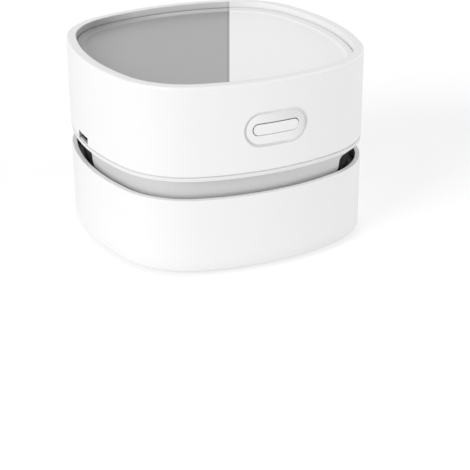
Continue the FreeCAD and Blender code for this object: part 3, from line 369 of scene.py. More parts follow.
@dataclass(frozen=True)
class PaintedLightShell(PaintedReflectionAbs):
    """White shell whose recess wall carries the painted reflection of the panel that it frames,
    with painted shade round the button and in the charging port.
    """

    # only the wall that looks inwards over the panel carries the painted reflection, so the rim
    # stays white; painted shade draws the groove round the button's seat as a soft grey ring,
    # darkens the button's slot and the walls of the charging port, and lies on the seat, mostly at
    # its upper right
    tones: tuple[str, ...] = ("#a0a0a0", "#d2d2d2", "#c0c0c0", "#ececec")
    recess: tuple[Pair, ...] = ((-50.0, 50.0), (-50.0, 50.0), (56.1, 65.0))
    recess_facing: float = -0.35
    side_centre: float = 34.4
    side_radius: float = 78.4
    seat: tuple[Pair, ...] = ((-11.2, 11.2), (-50.0, -40.0), (39.7, 51.1))
    seat_level: float = 45.4
    seat_straight: float = 5.8
    # painted shade of the groove round the seat and of the seat itself
    painted_shade_tone: str = "#dddddd"
    groove_shade_depths: Pair = (0.02, 0.4)
    # share of painted shade in the seat's middle, and its growth for each mm right and up; the
    # groove's shade grows to the lower left and the seat's to the upper right
    groove_shade_slant: Point = (0.6, -0.045, -0.03)
    seat_shade_slant: Point = (0.15, 0.09, 0.13)
    seat_shade_fade: Pair = (5.6, 4.2)
    seat_shade_most: float = 0.6
    # painted shade in the button's slot
    slot_shade_tone: str = "#5e5e5e"
    slot_depths: Pair = (0.45, 0.8)
    port: tuple[Pair, ...] = ((-50.0, -41.0), (-2.4, 6.8), (20.0, 35.2))
    # painted shade on the walls of the charging port
    port_shade_tone: str = "#9c9c9c"
    port_depth: float = 0.12

    def detail(self, skin: Skin) -> None:
        """Adds the painted reflection on the recess wall and the painted shade round the button
        and in the port.

        Args:
            skin: The surface that gets them.
        """
        super().detail(skin)
        flat = skin.add("VectorMath", {"operation": "MULTIPLY", 1: (1.0, 1.0, 0.0)}, skin.place)
        outward = skin.add("VectorMath", {"operation": "NORMALIZE"}, flat)
        facing = skin.add("VectorMath", {"operation": "DOT_PRODUCT"},
                          skin.add("NewGeometry").outputs["Normal"], outward)
        inwards = skin.add("Math", {"operation": "LESS_THAN"}, facing, self.recess_facing)
        # the painted reflection, on the wall that looks inwards over the panel
        skin.tint(self.split(skin, self.tones, self.grey_from), inwards, skin.inside(self.recess))
        front = self.depth(skin, flat, (0.0, self.side_centre, 0.0))
        groove, slot = (skin.add("MapRange", {"From Min": low * MM, "From Max": high * MM}, front)
                        for low, high in (self.groove_shade_depths, self.slot_depths))
        # painted shade in the groove, darker to the lower left, and on the seat
        shaded = skin.add("Math", {"operation": "MAXIMUM"}, self.seat_shade(skin),
                         skin.product(groove, self.slant(skin, self.groove_shade_slant)))
        seat = skin.inside(self.seat)
        skin.tint(self.painted_shade_tone, shaded, seat)
        # painted shade in the button's slot
        skin.tint(self.slot_shade_tone, slot, seat)
        # painted shade on the walls of the charging port
        left = self.depth(skin, flat, (self.side_centre, 0.0, 0.0))
        sunk = skin.add("Math", {"operation": "GREATER_THAN"}, left, self.port_depth * MM)
        skin.tint(self.port_shade_tone, sunk, skin.inside(self.port))

    def depth(self, skin: Skin, flat: Feed, centre: Point) -> Node:
        """How far a place in plan lies behind the bowed wall that has this centre."""
        away = skin.add("VectorMath", {"operation": "DISTANCE", 1: Vector(centre) * MM}, flat)
        return skin.add("Math", {"operation": "SUBTRACT"}, self.side_radius * MM, away)

    def slant(self, skin: Skin, shares: Point) -> Node:
        """Adds a share that grows evenly over the seat.

        Args:
            skin: The surface.
            shares: The share in the seat's middle and its growth for each mm right and up.

        Returns:
            The share, from 0 to 1.
        """
        middle, right, up = shares
        grown = skin.add("VectorMath", {"operation": "DOT_PRODUCT", 1: (right / MM, 0.0, up / MM)},
                         skin.place)
        return skin.add("Math", {"operation": "ADD", "use_clamp": True}, grown,
                        middle - up * self.seat_level)

    def seat_shade(self, skin: Skin) -> Feed:
        """Adds the painted shade on the seat, mostly at its upper right.

        Args:
            skin: The surface that gets it.

        Returns:
            How much of it lies at a place, from 0 to 1.
        """
        nearest = skin.place
        for operation, way in (("MAXIMUM", -1), ("MINIMUM", 1)):
            limit = Vector((way * self.seat_straight, way * self.side_radius, self.seat_level))
            nearest = skin.add("VectorMath", {"operation": operation, 1: limit * MM}, nearest)
        away = skin.add("VectorMath", {"operation": "DISTANCE"}, skin.place, nearest)
        fade = skin.add("MapRange", {
            "interpolation_type": "SMOOTHSTEP", "From Min": self.seat_shade_fade[0] * MM,
            "From Max": self.seat_shade_fade[1] * MM, "To Max": self.seat_shade_most}, away)
        return skin.product(fade, self.slant(skin, self.seat_shade_slant))


@dataclass(frozen=True)
class SilverLacquer(Finish):
    """ABS sprayed with silver lacquer: fine aluminium flake under a satin clear coat."""

    # only part of the film is flake, so the sheen is broad and the edges stay soft grey
    metallic: float = 0.35
    roughness: float = 0.48
    flake: float = 0.12
    coat: float = 0.15
    coat_roughness: float = 0.25

    def detail(self, skin: Skin) -> None:
        """Adds the coat and the flakes, a few times coarser than real ones so that they show.

        Args:
            skin: The surface that gets them.
        """
        flakes = skin.add("TexVoronoi", {"Scale": per_mm(self.flake)}, skin.place)
        bright = skin.add("SeparateColor", {}, flakes.outputs["Color"]).outputs
        skin.vary(bright["Red"], shade=0.12, dullness=0.05)
        skin.lift(bright["Green"], height=0.002, strength=0.25)
        skin.looks |= {"Coat Weight": self.coat, "Coat Roughness": self.coat_roughness}


@dataclass(frozen=True)
class MetalPart(Finish):
    """Steel, brass or bronze with the fine lines that turning, drawing or rolling leaves."""

    # the lines lie along the way the tool went, so the gleam is drawn out across them
    metallic: float = 1.0
    roughness: float = 0.3
    line_width: float = 0.08
    line_stretch: Point = (1.0, 1.0, 0.04)

    def detail(self, skin: Skin) -> None:
        """Adds the lines, as noise that is stretched along them.

        Args:
            skin: The surface that gets them.
        """
        along = skin.add("Mapping", {"Scale": self.line_stretch}, skin.place)
        lines = skin.add("TexNoise", {"Scale": per_mm(self.line_width), "Detail": 2.0}, along)
        skin.vary(lines, shade=0.15, dullness=0.08)
        skin.lift(lines, height=0.003, strength=0.3)


@dataclass(frozen=True)
class Rubber(Finish):
    """Moulded elastomer with a soft leathery grain from the mould."""

    # deep matt: the pebbled grain scatters what little gloss rubber has
    roughness: float = 0.75
    ior: float = 1.52
    grain: float = 0.35
    bloom: float = 6.0

    def detail(self, skin: Skin) -> None:
        """Adds the pebbled grain and a faint bloom.

        Args:
            skin: The surface that gets them.
        """
        bloom = skin.add("TexNoise", {"Scale": per_mm(self.bloom)}, skin.place)
        grain = skin.add("TexVoronoi", {"Scale": per_mm(self.grain)}, skin.place)
        skin.vary(bloom, shade=0.12, dullness=0.06)
        skin.lift(grain, height=0.03, strength=0.3)


@dataclass(frozen=True)
class Fibre(Finish):
    """Felted or needled fibre: a tangle of threads and small pits."""

    # no gloss, as each thread is thinner than the eye can tell
    roughness: float = 0.95
    thread: float = 0.25
    fuzz: float = 0.3

    def detail(self, skin: Skin) -> None:
        """Adds the tangle as strongly bent noise, with dark pits between the threads.

        Args:
            skin: The surface that gets it.
        """
        tangle = skin.add("TexNoise", {
            "Scale": per_mm(self.thread), "Detail": 5.0, "Distortion": 2.5}, skin.place)
        skin.vary(tangle, shade=0.35, dullness=0.04)
        skin.lift(tangle, height=0.12, strength=0.6)
        skin.looks["Sheen Weight"] = self.fuzz


@dataclass(frozen=True)
class Woven(Finish):
    """Woven gauze: two sets of threads that cross over and under each other."""

    # the holes between the threads read as an even dark grid
    roughness: float = 0.6
    pitch: float = 0.7

    def detail(self, skin: Skin) -> None:
        """Adds both sets of threads at the gauze's pitch, darker in the holes.

        Args:
            skin: The surface that gets them.
        """
        # at a scale of 1 the wave node repeats 20 times in tau metres
        scale = per_mm(self.pitch) * math.tau / 20
        threads = [skin.add("TexWave", {"bands_direction": axis, "Scale": scale}, skin.place)
                   .outputs["Fac"] for axis in ("X", "Y")]
        weave = skin.add("Math", {"operation": "MAXIMUM"}, *threads)
        skin.vary(weave, shade=0.6, dullness=0.05)
        skin.lift(weave, height=0.12, strength=0.6)


@dataclass(frozen=True)
class SolderMask(Finish):
    """Circuit board: glossy mask over glass cloth, with copper tracks just raised."""

    # the mask is poured thin and shiny, so the tracks show as soft edges under it
    roughness: float = 0.28
    track: float = 1.4
    track_edge: float = 0.42

    def detail(self, skin: Skin) -> None:
        """Adds straight-sided cells, as the tracks' edges look through the mask.

        Args:
            skin: The surface that gets them.
        """
        cells = skin.add("TexVoronoi", {"distance": "CHEBYCHEV", "Scale": per_mm(self.track)},
                         skin.place)
        edge = skin.add("Math", {"operation": "GREATER_THAN"}, cells, self.track_edge)
        skin.vary(edge, shade=0.35, dullness=0.03)
        skin.lift(edge, height=0.03, strength=0.5)


@dataclass(frozen=True)
class FloorPaper(Finish):
    """Matt paper that can be looked through from below, so that the underside shows."""

    # what it glows for the camera alone, so that its unshaded parts are white
    glow: float = 0.24
    # rays that come from this near pass through it, which lights the underside
    near: float = 6.0

    def shade(self, skin: Skin) -> Node:
        """Adds the glow, and what is clear.

        Args:
            skin: The paper's surface.

        Returns:
            The shader.
        """
        rays = skin.add("LightPath").outputs
        seen = rays["Is Camera Ray"]
        glow = skin.add("Emission", {}, linear("#ffffff"), skin.product(seen, self.glow))
        lit = skin.add("AddShader", {}, super().shade(skin), glow)
        near = skin.add("Math", {"operation": "LESS_THAN"}, rays["Ray Length"], self.near * MM)
        unseen = skin.add("Math", {"operation": "SUBTRACT"}, 1.0, seen)
        clear = skin.add("Math", {"operation": "MAXIMUM"},
                         skin.add("NewGeometry").outputs["Backfacing"], skin.product(near, unseen))
        return skin.add("MixShader", {}, clear, lit, skin.add("BsdfTransparent"))


SHELL_WHITE = MouldedPlastic("abs_moulded_white", "#f5f5f5")
# painted reflection on the recess wall, painted shade round the button and in the charging port
RECESS_WHITE = PaintedLightShell("abs_white_painted_light", "#f5f5f5")
# painted shade on the floor of the charging port
PLATE_WHITE = PortedAbs("abs_moulded_base", "#ebebeb")
BUTTON_WHITE = MouldedPlastic("abs_moulded_button", "#f6f6f6", roughness=0.3)
# painted shade on the button's sides draws its outline in the slot
BUTTON_SIDE_SHADE = MouldedPlastic("abs_button_side_painted_shade", "#646464", roughness=0.6)
# painted reflection on one side of the panel, painted light and shade on its slope and lip
PANEL_PAINTED_REFLECTION = PaintedReflectionPanel("abs_panel_painted_reflection", "#fcfcfc", roughness=0.34)
SILVER = SilverLacquer("silver_lacquer", "#dadada")
# the wires' baked coat is matt, and all but swallows the light with the fleece behind them
SCREEN_WIRE = Finish("steel_wire_coated_black", "#454649", roughness=0.7, ior=1.52, shine=0.12)
SCREEN_FLEECE = Fibre("polyester_fleece_black", "#242527", shine=0.0, thread=0.2, fuzz=0.0)
HOUSING_DARK = MouldedPlastic("abs_moulded_charcoal", "#27282a", roughness=0.45)
FAN_NYLON = MouldedPlastic("nylon_moulded_natural", "#e4e2da", roughness=0.42, ior=1.53)
BRUSH_GREY = MouldedPlastic("polypropylene_grey", "#8b8d90", roughness=0.48, ior=1.49)
# drawn nylon has a soft gleam on each hair
BRISTLE = Finish("nylon_bristle_dark", "#2b2c2f", roughness=0.45, ior=1.53)
FOOT_RUBBER = Rubber("tpe_foot_grey", "#8c8e90")
SEAL_RUBBER = Rubber("silicone_seal_grey", "#6f7276", roughness=0.6, grain=0.5)
DAMPER_RUBBER = Rubber("nitrile_damper_black", "#232325")
SCREW_STEEL = MetalPart("steel_screw_zinc_plated", "#c8cacb", roughness=0.28)
FILTER_GREY = MouldedPlastic("abs_moulded_filter_grey", "#77797c", roughness=0.42)
GAUZE = Woven("nylon_gauze_white", "#d6d7d6")
PAD_FIBRE = Fibre("polyester_pad_white", "#e6e6e2")
CAN_STEEL = MetalPart("steel_can_drawn_nickel", "#b9b7b1", roughness=0.25)
CAP_NYLON = MouldedPlastic("nylon_end_cap_white", "#dedcd3", roughness=0.5, ior=1.53)
BRONZE = MetalPart("bronze_sintered", "#a97c4a", roughness=0.45)
BRASS = MetalPart("brass_terminal", "#d0b06a", roughness=0.3)
SHAFT_STEEL = MetalPart("steel_shaft_ground", "#cfd0d2", roughness=0.18)
CELL_WRAP = MouldedPlastic("pvc_sleeve_blue", "#2f5f9e", roughness=0.25, ior=1.54)
NICKEL = MetalPart("nickel_strip_rolled", "#c9c6bd", roughness=0.3, line_stretch=(0.04, 1.0, 1.0))
BOARD_GREEN = SolderMask("glass_board_green", "#1d6b3d")
SOCKET_STEEL = MetalPart("stainless_socket_rolled", "#cfd1d4", roughness=0.3)
SWITCH_BLACK = MouldedPlastic("nylon_switch_black", "#26272a", roughness=0.5, ior=1.53)
FLOOR_PAPER = FloorPaper("studio_paper", "#fbfbfb", roughness=0.9)


# ---- shapes

def turned(x: float, y: float, degrees: float) -> Pair:
    """A place in plan, turned about the origin by so many degrees to the left."""
    cosine, sine = math.cos(math.radians(degrees)), math.sin(math.radians(degrees))
    return x * cosine - y * sine, x * sine + y * cosine


@dataclass(frozen=True)
class Plan:
    """The bowed square seen from above: four shallow arcs joined by four tight ones."""

    half_width: float = 44.0
    side_radius: float = 78.4
    corner_radius: float = 26.1

    @property
    def side_centre(self) -> float:
        """Where the arc of the +X side has its centre, on the X axis."""
        return self.half_width - self.side_radius

    @property
    def corner_centre(self) -> float:
        """How far a corner's centre lies from both axes.

        Returns:
            The distance.
        """
        lead = self.side_centre
        reach = self.side_radius - self.corner_radius
        return (2 * lead + math.sqrt(4 * lead ** 2 - 8 * (lead ** 2 - reach ** 2))) / 4

    @property
    def joint_angle(self) -> float:
        """Angle in degrees, from a side's middle, at which its arc meets the corner's."""
        return math.degrees(math.atan2(self.corner_centre, self.corner_centre - self.side_centre))

    def point(self, facing: float, inset: float, level: float) -> Point:
        """The point of the wall whose outward side looks in a direction.

        Args:
            facing: Direction in degrees from +X.
            inset: How far inside the outer wall.
            level: Height above the table.

        Returns:
            The point.
        """
        side = round(facing / 90)
        off = math.radians(facing - side * 90)
        if abs(math.degrees(off)) <= self.joint_angle:
            centre, radius = (self.side_centre, 0.0), self.side_radius - inset
        else:
            centre = (self.corner_centre, math.copysign(self.corner_centre, off))
            radius = self.corner_radius - inset
        return *turned(centre[0] + radius * math.cos(off), centre[1] + radius * math.sin(off),
                       side * 90), level

    def facings(self, corner_steps: int = 10, side_steps: int = 6) -> list[float]:
        """Directions, all the way round, that follow the outline closely.

        Args:
            corner_steps: Steps in half a corner.
            side_steps: Steps in half a side.

        Returns:
            The directions in degrees.
        """
        seam = self.joint_angle
        half = [seam * step / side_steps for step in range(side_steps)]
        half += [seam + (45 - seam) * step / corner_steps for step in range(corner_steps + 1)]
        quarter = [-angle for angle in reversed(half[1:])] + half[:-1]
        return [side * 90 + angle for side in range(4) for angle in quarter]

    def facing_at(self, sight: float, across: float, inset: float) -> float:
        """The facing of the wall point that lies so far to the left of a line of sight.

        Args:
            sight: The direction of sight in degrees.
            across: Distance to its left.
            inset: How far inside the outer wall.

        Returns:
            The facing in degrees.
        """
        # searched from 80 degrees to either side, by halving the gap until it is nothing
        low, high = sight - 80, sight + 80
        for _halving in range(40):
            middle = (low + high) / 2
            if turned(*self.point(middle, inset, 0)[:2], -sight)[1] < across:
                low = middle
            else:
                high = middle
        return (low + high) / 2


PLAN = Plan()


class Draft:
    """A mesh in the making: rows of points and the faces between them."""

    def __init__(self) -> None:
        """Starts with nothing."""
        self.mesh = bmesh.new()

    def row(self, points: Iterable[Sequence[float]]) -> Row:
        """Adds points given in millimetres, in order."""
        return [self.mesh.verts.new(Vector(point) * MM) for point in points]

    def wall(self, section: Iterable[Pair], facings: Sequence[float]) -> list[Row]:
        """Adds a row along the plan's outline for each inset and level of a section."""
        return [self.row(PLAN.point(facing, inset, level) for facing in facings)
                for inset, level in section]

    def rings(self, centre: Pair, profile: Iterable[Pair], count: int,
              start: float = 0.0) -> list[Row]:
        """Adds level circles about an upright line.

        Args:
            centre: Where the line stands in plan.
            profile: Radius and level of each circle.
            count: How many points each has.
            start: Direction of the first point in degrees.

        Returns:
            The circles' rows.
        """
        spokes = [turned(1.0, 0.0, start + 360 * number / count) for number in range(count)]
        return [self.row((centre[0] + radius * x, centre[1] + radius * y, level)
                         for x, y in spokes) for radius, level in profile]

    def join(self, rows: Sequence[Row], closed: bool = True, finish: int = 0) -> None:
        """Joins each row to the next by four-sided faces.

        Args:
            rows: Rows of the same length.
            closed: Whether each row closes on itself.
            finish: Which of the piece's finishes the faces get.
        """
        for low, high in zip(rows, rows[1:]):
            for number in range(len(low) - (not closed)):
                other = (number + 1) % len(low)
                face = self.mesh.faces.new((low[number], low[other], high[other], high[number]))
                face.material_index = finish

    def rod(self, rows: Sequence[Row]) -> None:
        """Joins rows into a closed rod with both ends filled.

        Args:
            rows: The rows from end to end.
        """
        self.join(rows)
        self.mesh.faces.new(rows[0])
        self.mesh.faces.new(rows[-1])

    def solid(self, name: str) -> bpy.types.Object:
        """Turns the draft into an object of its own, and ends the draft.

        Args:
            name: The object's name.

        Returns:
            The object.
        """
        bmesh.ops.recalc_face_normals(self.mesh, faces=self.mesh.faces[:])
        data = bpy.data.meshes.new(name)
        self.mesh.to_mesh(data)
        self.mesh.free()
        made = bpy.data.objects.new(name, data)
        bpy.context.scene.collection.objects.link(made)
        return made

    def carve(self, tools: Sequence["Draft"]) -> None:
        """Cuts other closed drafts out of this one.

        Args:
            tools: The drafts to cut with.
        """
        blank = self.solid("blank")
        cutters = [tool.solid("cutter") for tool in tools]
        for cutter in cutters:
            step = blank.modifiers.new("cut", "BOOLEAN")
            step.operation, step.solver, step.object = "DIFFERENCE", "EXACT", cutter
        depsgraph = bpy.context.evaluated_depsgraph_get()
        carved = bpy.data.meshes.new_from_object(blank.evaluated_get(depsgraph))
        self.mesh = bmesh.new()
        self.mesh.from_mesh(carved)
        for data in (carved, blank.data, *(cutter.data for cutter in cutters)):
            bpy.data.meshes.remove(data)

    def piece(self, node: str, body: Body, finishes: Sequence[Finish],
              crease: float = 35.0) -> None:
        """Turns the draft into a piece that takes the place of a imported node.

        Args:
            node: The node's name, which the piece gets too.
            body: The body that the piece rides on.
            finishes: Its finishes, in the order of the faces' numbers.
            crease: Angle in degrees from which an edge stays sharp.
        """
        made = self.solid(node)
        data = made.data
        data.polygons.foreach_set("use_smooth", [True] * len(data.polygons))
        data.set_sharp_from_angle(angle=math.radians(crease))
        for finish in finishes:
            data.materials.append(finish.make())
        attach(made, body.value)
        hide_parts(node)
        log.info("%s: %d faces, %s", node, len(data.polygons), finishes[0].name)


def dress(**finishes: Finish) -> None:
    """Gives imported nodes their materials.

    Args:
        finishes: The finish of each node, by its name.
    """
    for node, finish in finishes.items():
        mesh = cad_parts[node].data
        mesh.materials.clear()
        mesh.materials.append(finish.make())
        log.info("%s: %s", node, finish.name)


# ---- screws

@dataclass
class ScrewSet:
    """Alike self-tapping screws that point upwards: pan head, cross recess, rolled thread."""

    node: str
    body: Body
    circle: float
    angles: tuple[float, ...]
    head_radius: float = 1.9
    head_height: float = 1.0
    # the pan head's round, in shares of its radius and of its height
    head_round: tuple[Pair, ...] = ((0.72, 0.0), (0.86, 0.08), (0.96, 0.28), (1.0, 0.55),
                                    (1.0, 1.0))
    core_radius: float = 0.78
    thread_radius: float = 1.0
    thread_crest: Pair = (0.42, 0.58)
    pitch: float = 0.8
    tip_share: float = 0.55
    recess_reach: float = 1.1
    recess_width: float = 0.3
    recess_depth: float = 0.55
    recess_shrink: float = 0.45
    around: int = 24

    def build(self) -> None:
        """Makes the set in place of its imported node."""
        low, high = (corner[2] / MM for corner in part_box(self.node))
        profile = self.profile(low, high)
        draft = Draft()
        for angle in self.angles:
            centre = turned(self.circle, 0.0, angle)
            recess = [draft.row(self.cross(centre, angle, low + depth, share)) for depth, share
                      in ((self.recess_depth, self.recess_shrink), (0.0, 1.0))]
            draft.rod(recess + draft.rings(centre, profile, self.around, angle))
        draft.piece(self.node, self.body, [SCREW_STEEL])

    def profile(self, low: float, high: float) -> list[Pair]:
        """Radii and levels of the head, the thread and the tip.

        Args:
            low: Level of the driving face.
            high: Level of the tip.

        Returns:
            The radii and levels, from the face up.
        """
        seat = low + self.head_height
        rows = [(self.head_radius * share, low + self.head_height * rise)
                for share, rise in self.head_round]
        rows.append((self.core_radius, seat))
        level = seat + self.pitch / 2
        while level + self.pitch < high:
            rows.append((self.core_radius, level))
            rows += [(self.thread_radius, level + self.pitch * rise) for rise in self.thread_crest]
            level += self.pitch
        return rows + [(self.core_radius, level), (self.core_radius * self.tip_share, high)]

    def cross(self, centre: Pair, start: float, level: float, shrink: float) -> list[Point]:
        """Outline of the cross recess, with as many points as the head has round it.

        Args:
            centre: The screw's centre in plan.
            start: Direction of the first arm in degrees.
            level: Height of the outline.
            shrink: Its size beside the recess at the face.

        Returns:
            The points.
        """
        reach, width = self.recess_reach * shrink, self.recess_width * shrink
        middle = (reach + width) / 2
        arm = ((reach, 0.0), (reach, width), (middle, width), (width, width), (width, middle),
               (width, reach))
        spots = [turned(x, y, start + 90 * number) for number in range(4) for x, y in arm]
        return [(centre[0] + x, centre[1] + y, level) for x, y in spots]


# ---- dust box

@dataclass
class DustBox:
    """The tub that stands on the table and holds the dust."""

    foot_place: float = 25.0
    # radius and level of each edge of a foot, from its sole with two grip grooves to its top
    foot_profile: tuple[Pair, ...] = (
        (1.2, 0.0), (1.4, 0.25), (1.8, 0.25), (2.0, 0.0), (3.2, 0.0), (3.4, 0.25), (3.8, 0.25),
        (4.0, 0.0), (4.55, 0.0), (4.8, 0.07), (4.93, 0.2), (5.0, 0.42), (5.0, 2.2))
    around: int = 56

    def build(self) -> None:
        """Dresses the tub and makes its four round feet."""
        dress(lower_shell=SHELL_WHITE)
        draft = Draft()
        for side_x in (-1, 1):
            for side_y in (-1, 1):
                centre = (side_x * self.foot_place, side_y * self.foot_place)
                draft.rod(draft.rings(centre, self.foot_profile, self.around))
        draft.piece("feet", Body.DUST_BOX, [FOOT_RUBBER])


@dataclass
class SuctionBrush:
    """Round brush about the suction mouth, held by four screws."""

    tuft_count: int = 24
    tuft_circle: float = 15.2
    tuft_reach: float = 0.86
    tuft_foot: float = 0.25
    tuft_root: float = 4.0
    hairs: int = 34
    hair_radius: float = 0.105
    # from root to tip: share of the length and of the radius
    hair_taper: tuple[Pair, ...] = ((0.0, 1.0), (0.5, 0.92), (0.85, 0.8), (1.0, 0.45))
    hair_sides: int = 5
    splay: float = 0.2
    golden_angle: float = 137.5
    # how much shorter a hair may be, which share of the splay it takes, and the seed for both
    tip_spread: Pair = (0.0, 0.3)
    splay_spread: Pair = (0.4, 1.0)
    seed: int = 24
    screw_circle: float = 19.4
    screw_angles: tuple[float, ...] = (0, 90, 180, 270)

    def build(self) -> None:
        """Dresses the ring and makes its bristles and screws."""
        dress(brush_ring=BRUSH_GREY)
        self.make_bristles()
        ScrewSet("brush_screws", Body.DUST_BOX, self.screw_circle, self.screw_angles).build()

    def make_bristles(self) -> None:
        """Tufts of single tapered hairs, a little splayed and not all of one length."""
        chance = random.Random(self.seed)
        draft = Draft()
        for number in range(self.tuft_count):
            turn = 360 * number / self.tuft_count
            centre = turned(self.tuft_circle, 0.0, turn)
            for hair in range(self.hairs):
                reach = self.tuft_reach * math.sqrt((hair + 0.5) / self.hairs)
                tip = self.tuft_foot + chance.uniform(*self.tip_spread)
                lean = self.splay * reach / self.tuft_reach * chance.uniform(*self.splay_spread)
                rows = []
                for share, thick in self.hair_taper:
                    x, y = turned(reach + lean * share ** 2, 0.0, hair * self.golden_angle + turn)
                    level = self.tuft_root + (tip - self.tuft_root) * share
                    rows += draft.rings((centre[0] + x, centre[1] + y),
                                        [(self.hair_radius * thick, level)], self.hair_sides)
                draft.rod(rows)
        draft.piece("bristle_tufts", Body.DUST_BOX, [BRISTLE])


# ---- filter

@dataclass
class FilterCassette:
    """Lift-out filter: frame, gauze, fibre pad and seal."""

    gasket_bottom: float = 19.5
    gasket_height: float = 0.65
    gasket_inset: float = 2.3
    gasket_width: float = 3.0
    # two soft lips with a hollow between them, in shares of the width and of the height
    gasket_section: tuple[Pair, ...] = (
        (0.0, 0.0), (0.0, 0.7), (0.08, 0.95), (0.18, 1.0), (0.28, 0.8), (0.4, 0.5), (0.6, 0.5),
        (0.72, 0.8), (0.82, 1.0), (0.92, 0.95), (1.0, 0.7), (1.0, 0.0))

    def build(self) -> None:
        """Dresses the cassette and makes its lipped seal."""
        dress(filter_frame=FILTER_GREY, filter_mesh=GAUZE, filter_pad=PAD_FIBRE)
        draft = Draft()
        rows = draft.wall([(self.gasket_inset + self.gasket_width * across,
                            self.gasket_bottom + self.gasket_height * rise)
                           for across, rise in self.gasket_section], PLAN.facings())
        draft.join(rows + rows[:1])
        draft.piece("filter_gasket", Body.FILTER, [SEAL_RUBBER], crease=60.0)


# ---- neck and fan

@dataclass
class NeckAndFan:
    """Silver neck with its screened exhaust windows, and the fan behind them."""

    # directions in which the two windows look
    sights: Pair = (-24.0, 156.0)
    ring_inner_inset: float = 3.5
    # outside of the ring from its foot, which is drawn in, to its top
    ring_outside: tuple[Pair, ...] = (
        (2.9, 21.7), (2.89, 22.7), (2.84, 23.5), (2.76, 24.3), (2.68, 24.9), (2.59, 25.5),
        (2.5, 26.1), (2.44, 26.8), (2.41, 27.6), (2.4, 28.4), (2.4, 31.0))
    window_sides: Pair = (-23.4, 15.8)
    # the windows are open down to the fan housing, which closes them below
    window_levels: Pair = (19.6, 29.0)
    window_round: float = 1.8
    window_round_steps: int = 8
    window_block: Pair = (20.0, 60.0)
    screen_sides: Pair = (-25.1, 17.5)
    screen_levels: Pair = (21.75, 30.95)
    wire_inset: float = 3.88
    wire_radius: float = 0.13
    pitch: float = 0.72
    fleece_insets: Pair = (4.2, 4.35)
    post_circle: float = 36.0
    post_angles: tuple[float, ...] = (18, 34, 198, 214)

    def build(self) -> None:
        """Dresses the housing and the fan and makes the neck, the screens and the screws."""
        self.make_ring()
        dress(fan_housing=HOUSING_DARK, impeller=FAN_NYLON, motor_shaft=SHAFT_STEEL)
        draft = Draft()
        for sight in self.sights:
            self.weave(draft, sight)
        draft.piece("exhaust_screens", Body.MOTOR_UNIT, [SCREEN_WIRE, SCREEN_FLEECE])
        ScrewSet("housing_screws", Body.MOTOR_UNIT, self.post_circle, self.post_angles).build()

    def make_ring(self) -> None:
        """The neck's wall, which draws in towards its foot, with a window in two corners."""
        inside = [(self.ring_inner_inset, self.ring_outside[end][1]) for end in (0, -1)]
        ring = Draft()
        rows = ring.wall([inside[0], *self.ring_outside, inside[1]],
                         PLAN.facings(corner_steps=12, side_steps=10))
        ring.join(rows + rows[:1])
        ring.carve([self.block(sight) for sight in self.sights])
        ring.piece("neck_ring", Body.MOTOR_UNIT, [SILVER], crease=32.0)

    def block(self, sight: float) -> Draft:
        """Block with the outline of a window, to cut with.

        Args:
            sight: Direction in degrees in which the window looks.

        Returns:
            The block.
        """
        (left, right), (low, high), bend = self.window_sides, self.window_levels, self.window_round
        outline = []
        for number, (across, level) in enumerate((
                (right - bend, high - bend), (left + bend, high - bend),
                (left + bend, low + bend), (right - bend, low + bend))):
            for step in range(self.window_round_steps + 1):
                x, z = turned(bend, 0.0, 90 * (number + step / self.window_round_steps))
                outline.append((across + x, level + z))
        block = Draft()
        block.rod([block.row((*turned(away, across, sight), level) for across, level in outline)
                   for away in self.window_block])
        return block

    def weave(self, draft: Draft, sight: float) -> None:
        """Adds a sheet of plain-woven coated wire on a thin fleece.

        Args:
            draft: The mesh that gets it.
            sight: Direction in degrees in which its window looks.
        """
        (left, right), (low, high) = self.screen_sides, self.screen_levels
        across, levels = ([start + self.pitch * (step + 1) / 2
                           for step in range(2 * int((end - start) / self.pitch))]
                          for start, end in ((left, right), (low, high)))
        facings = [PLAN.facing_at(sight, place, self.wire_inset) for place in across]
        for column in range(0, len(facings), 2):
            self.make_wire(draft, [(facings[column], self.lift(column + step), level)
                                   for step, level in enumerate(levels)])
        for line in range(0, len(levels), 2):
            self.make_wire(draft, [(facing, -self.lift(line + step), levels[line])
                                   for step, facing in enumerate(facings)])
        front, back = self.fleece_insets
        sheet = draft.wall([(front, low), (front, high), (back, high), (back, low)], facings)
        draft.join(sheet + sheet[:1], closed=False, finish=1)
        for end in (0, -1):
            draft.mesh.faces.new([row[end] for row in sheet]).material_index = 1

    def lift(self, half_steps: int) -> float:
        """How far a wire stands out, so many half pitches on from where it passes over."""
        return self.wire_radius * math.cos(math.pi / 2 * half_steps)

    def make_wire(self, draft: Draft, path: Sequence[Point]) -> None:
        """Adds one wire with a four-sided section.

        Args:
            draft: The mesh that gets it.
            path: Its facing, its lift and its level, point by point.
        """
        centres = [Vector(PLAN.point(facing, self.wire_inset - lift, level))
                   for facing, lift, level in path]
        rows = []
        for number, centre in enumerate(centres):
            along = (centres[min(number + 1, len(centres) - 1)]
                     - centres[max(number - 1, 0)]).normalized()
            outward = Vector((*turned(1.0, 0.0, path[number][0]), 0.0))
            across = along.cross(outward).normalized() * self.wire_radius
            rise = across.cross(along).normalized() * self.wire_radius
            rows.append(draft.row((centre + across, centre + rise, centre - across,
                                   centre - rise)))
        draft.rod(rows)


# ---- motor unit

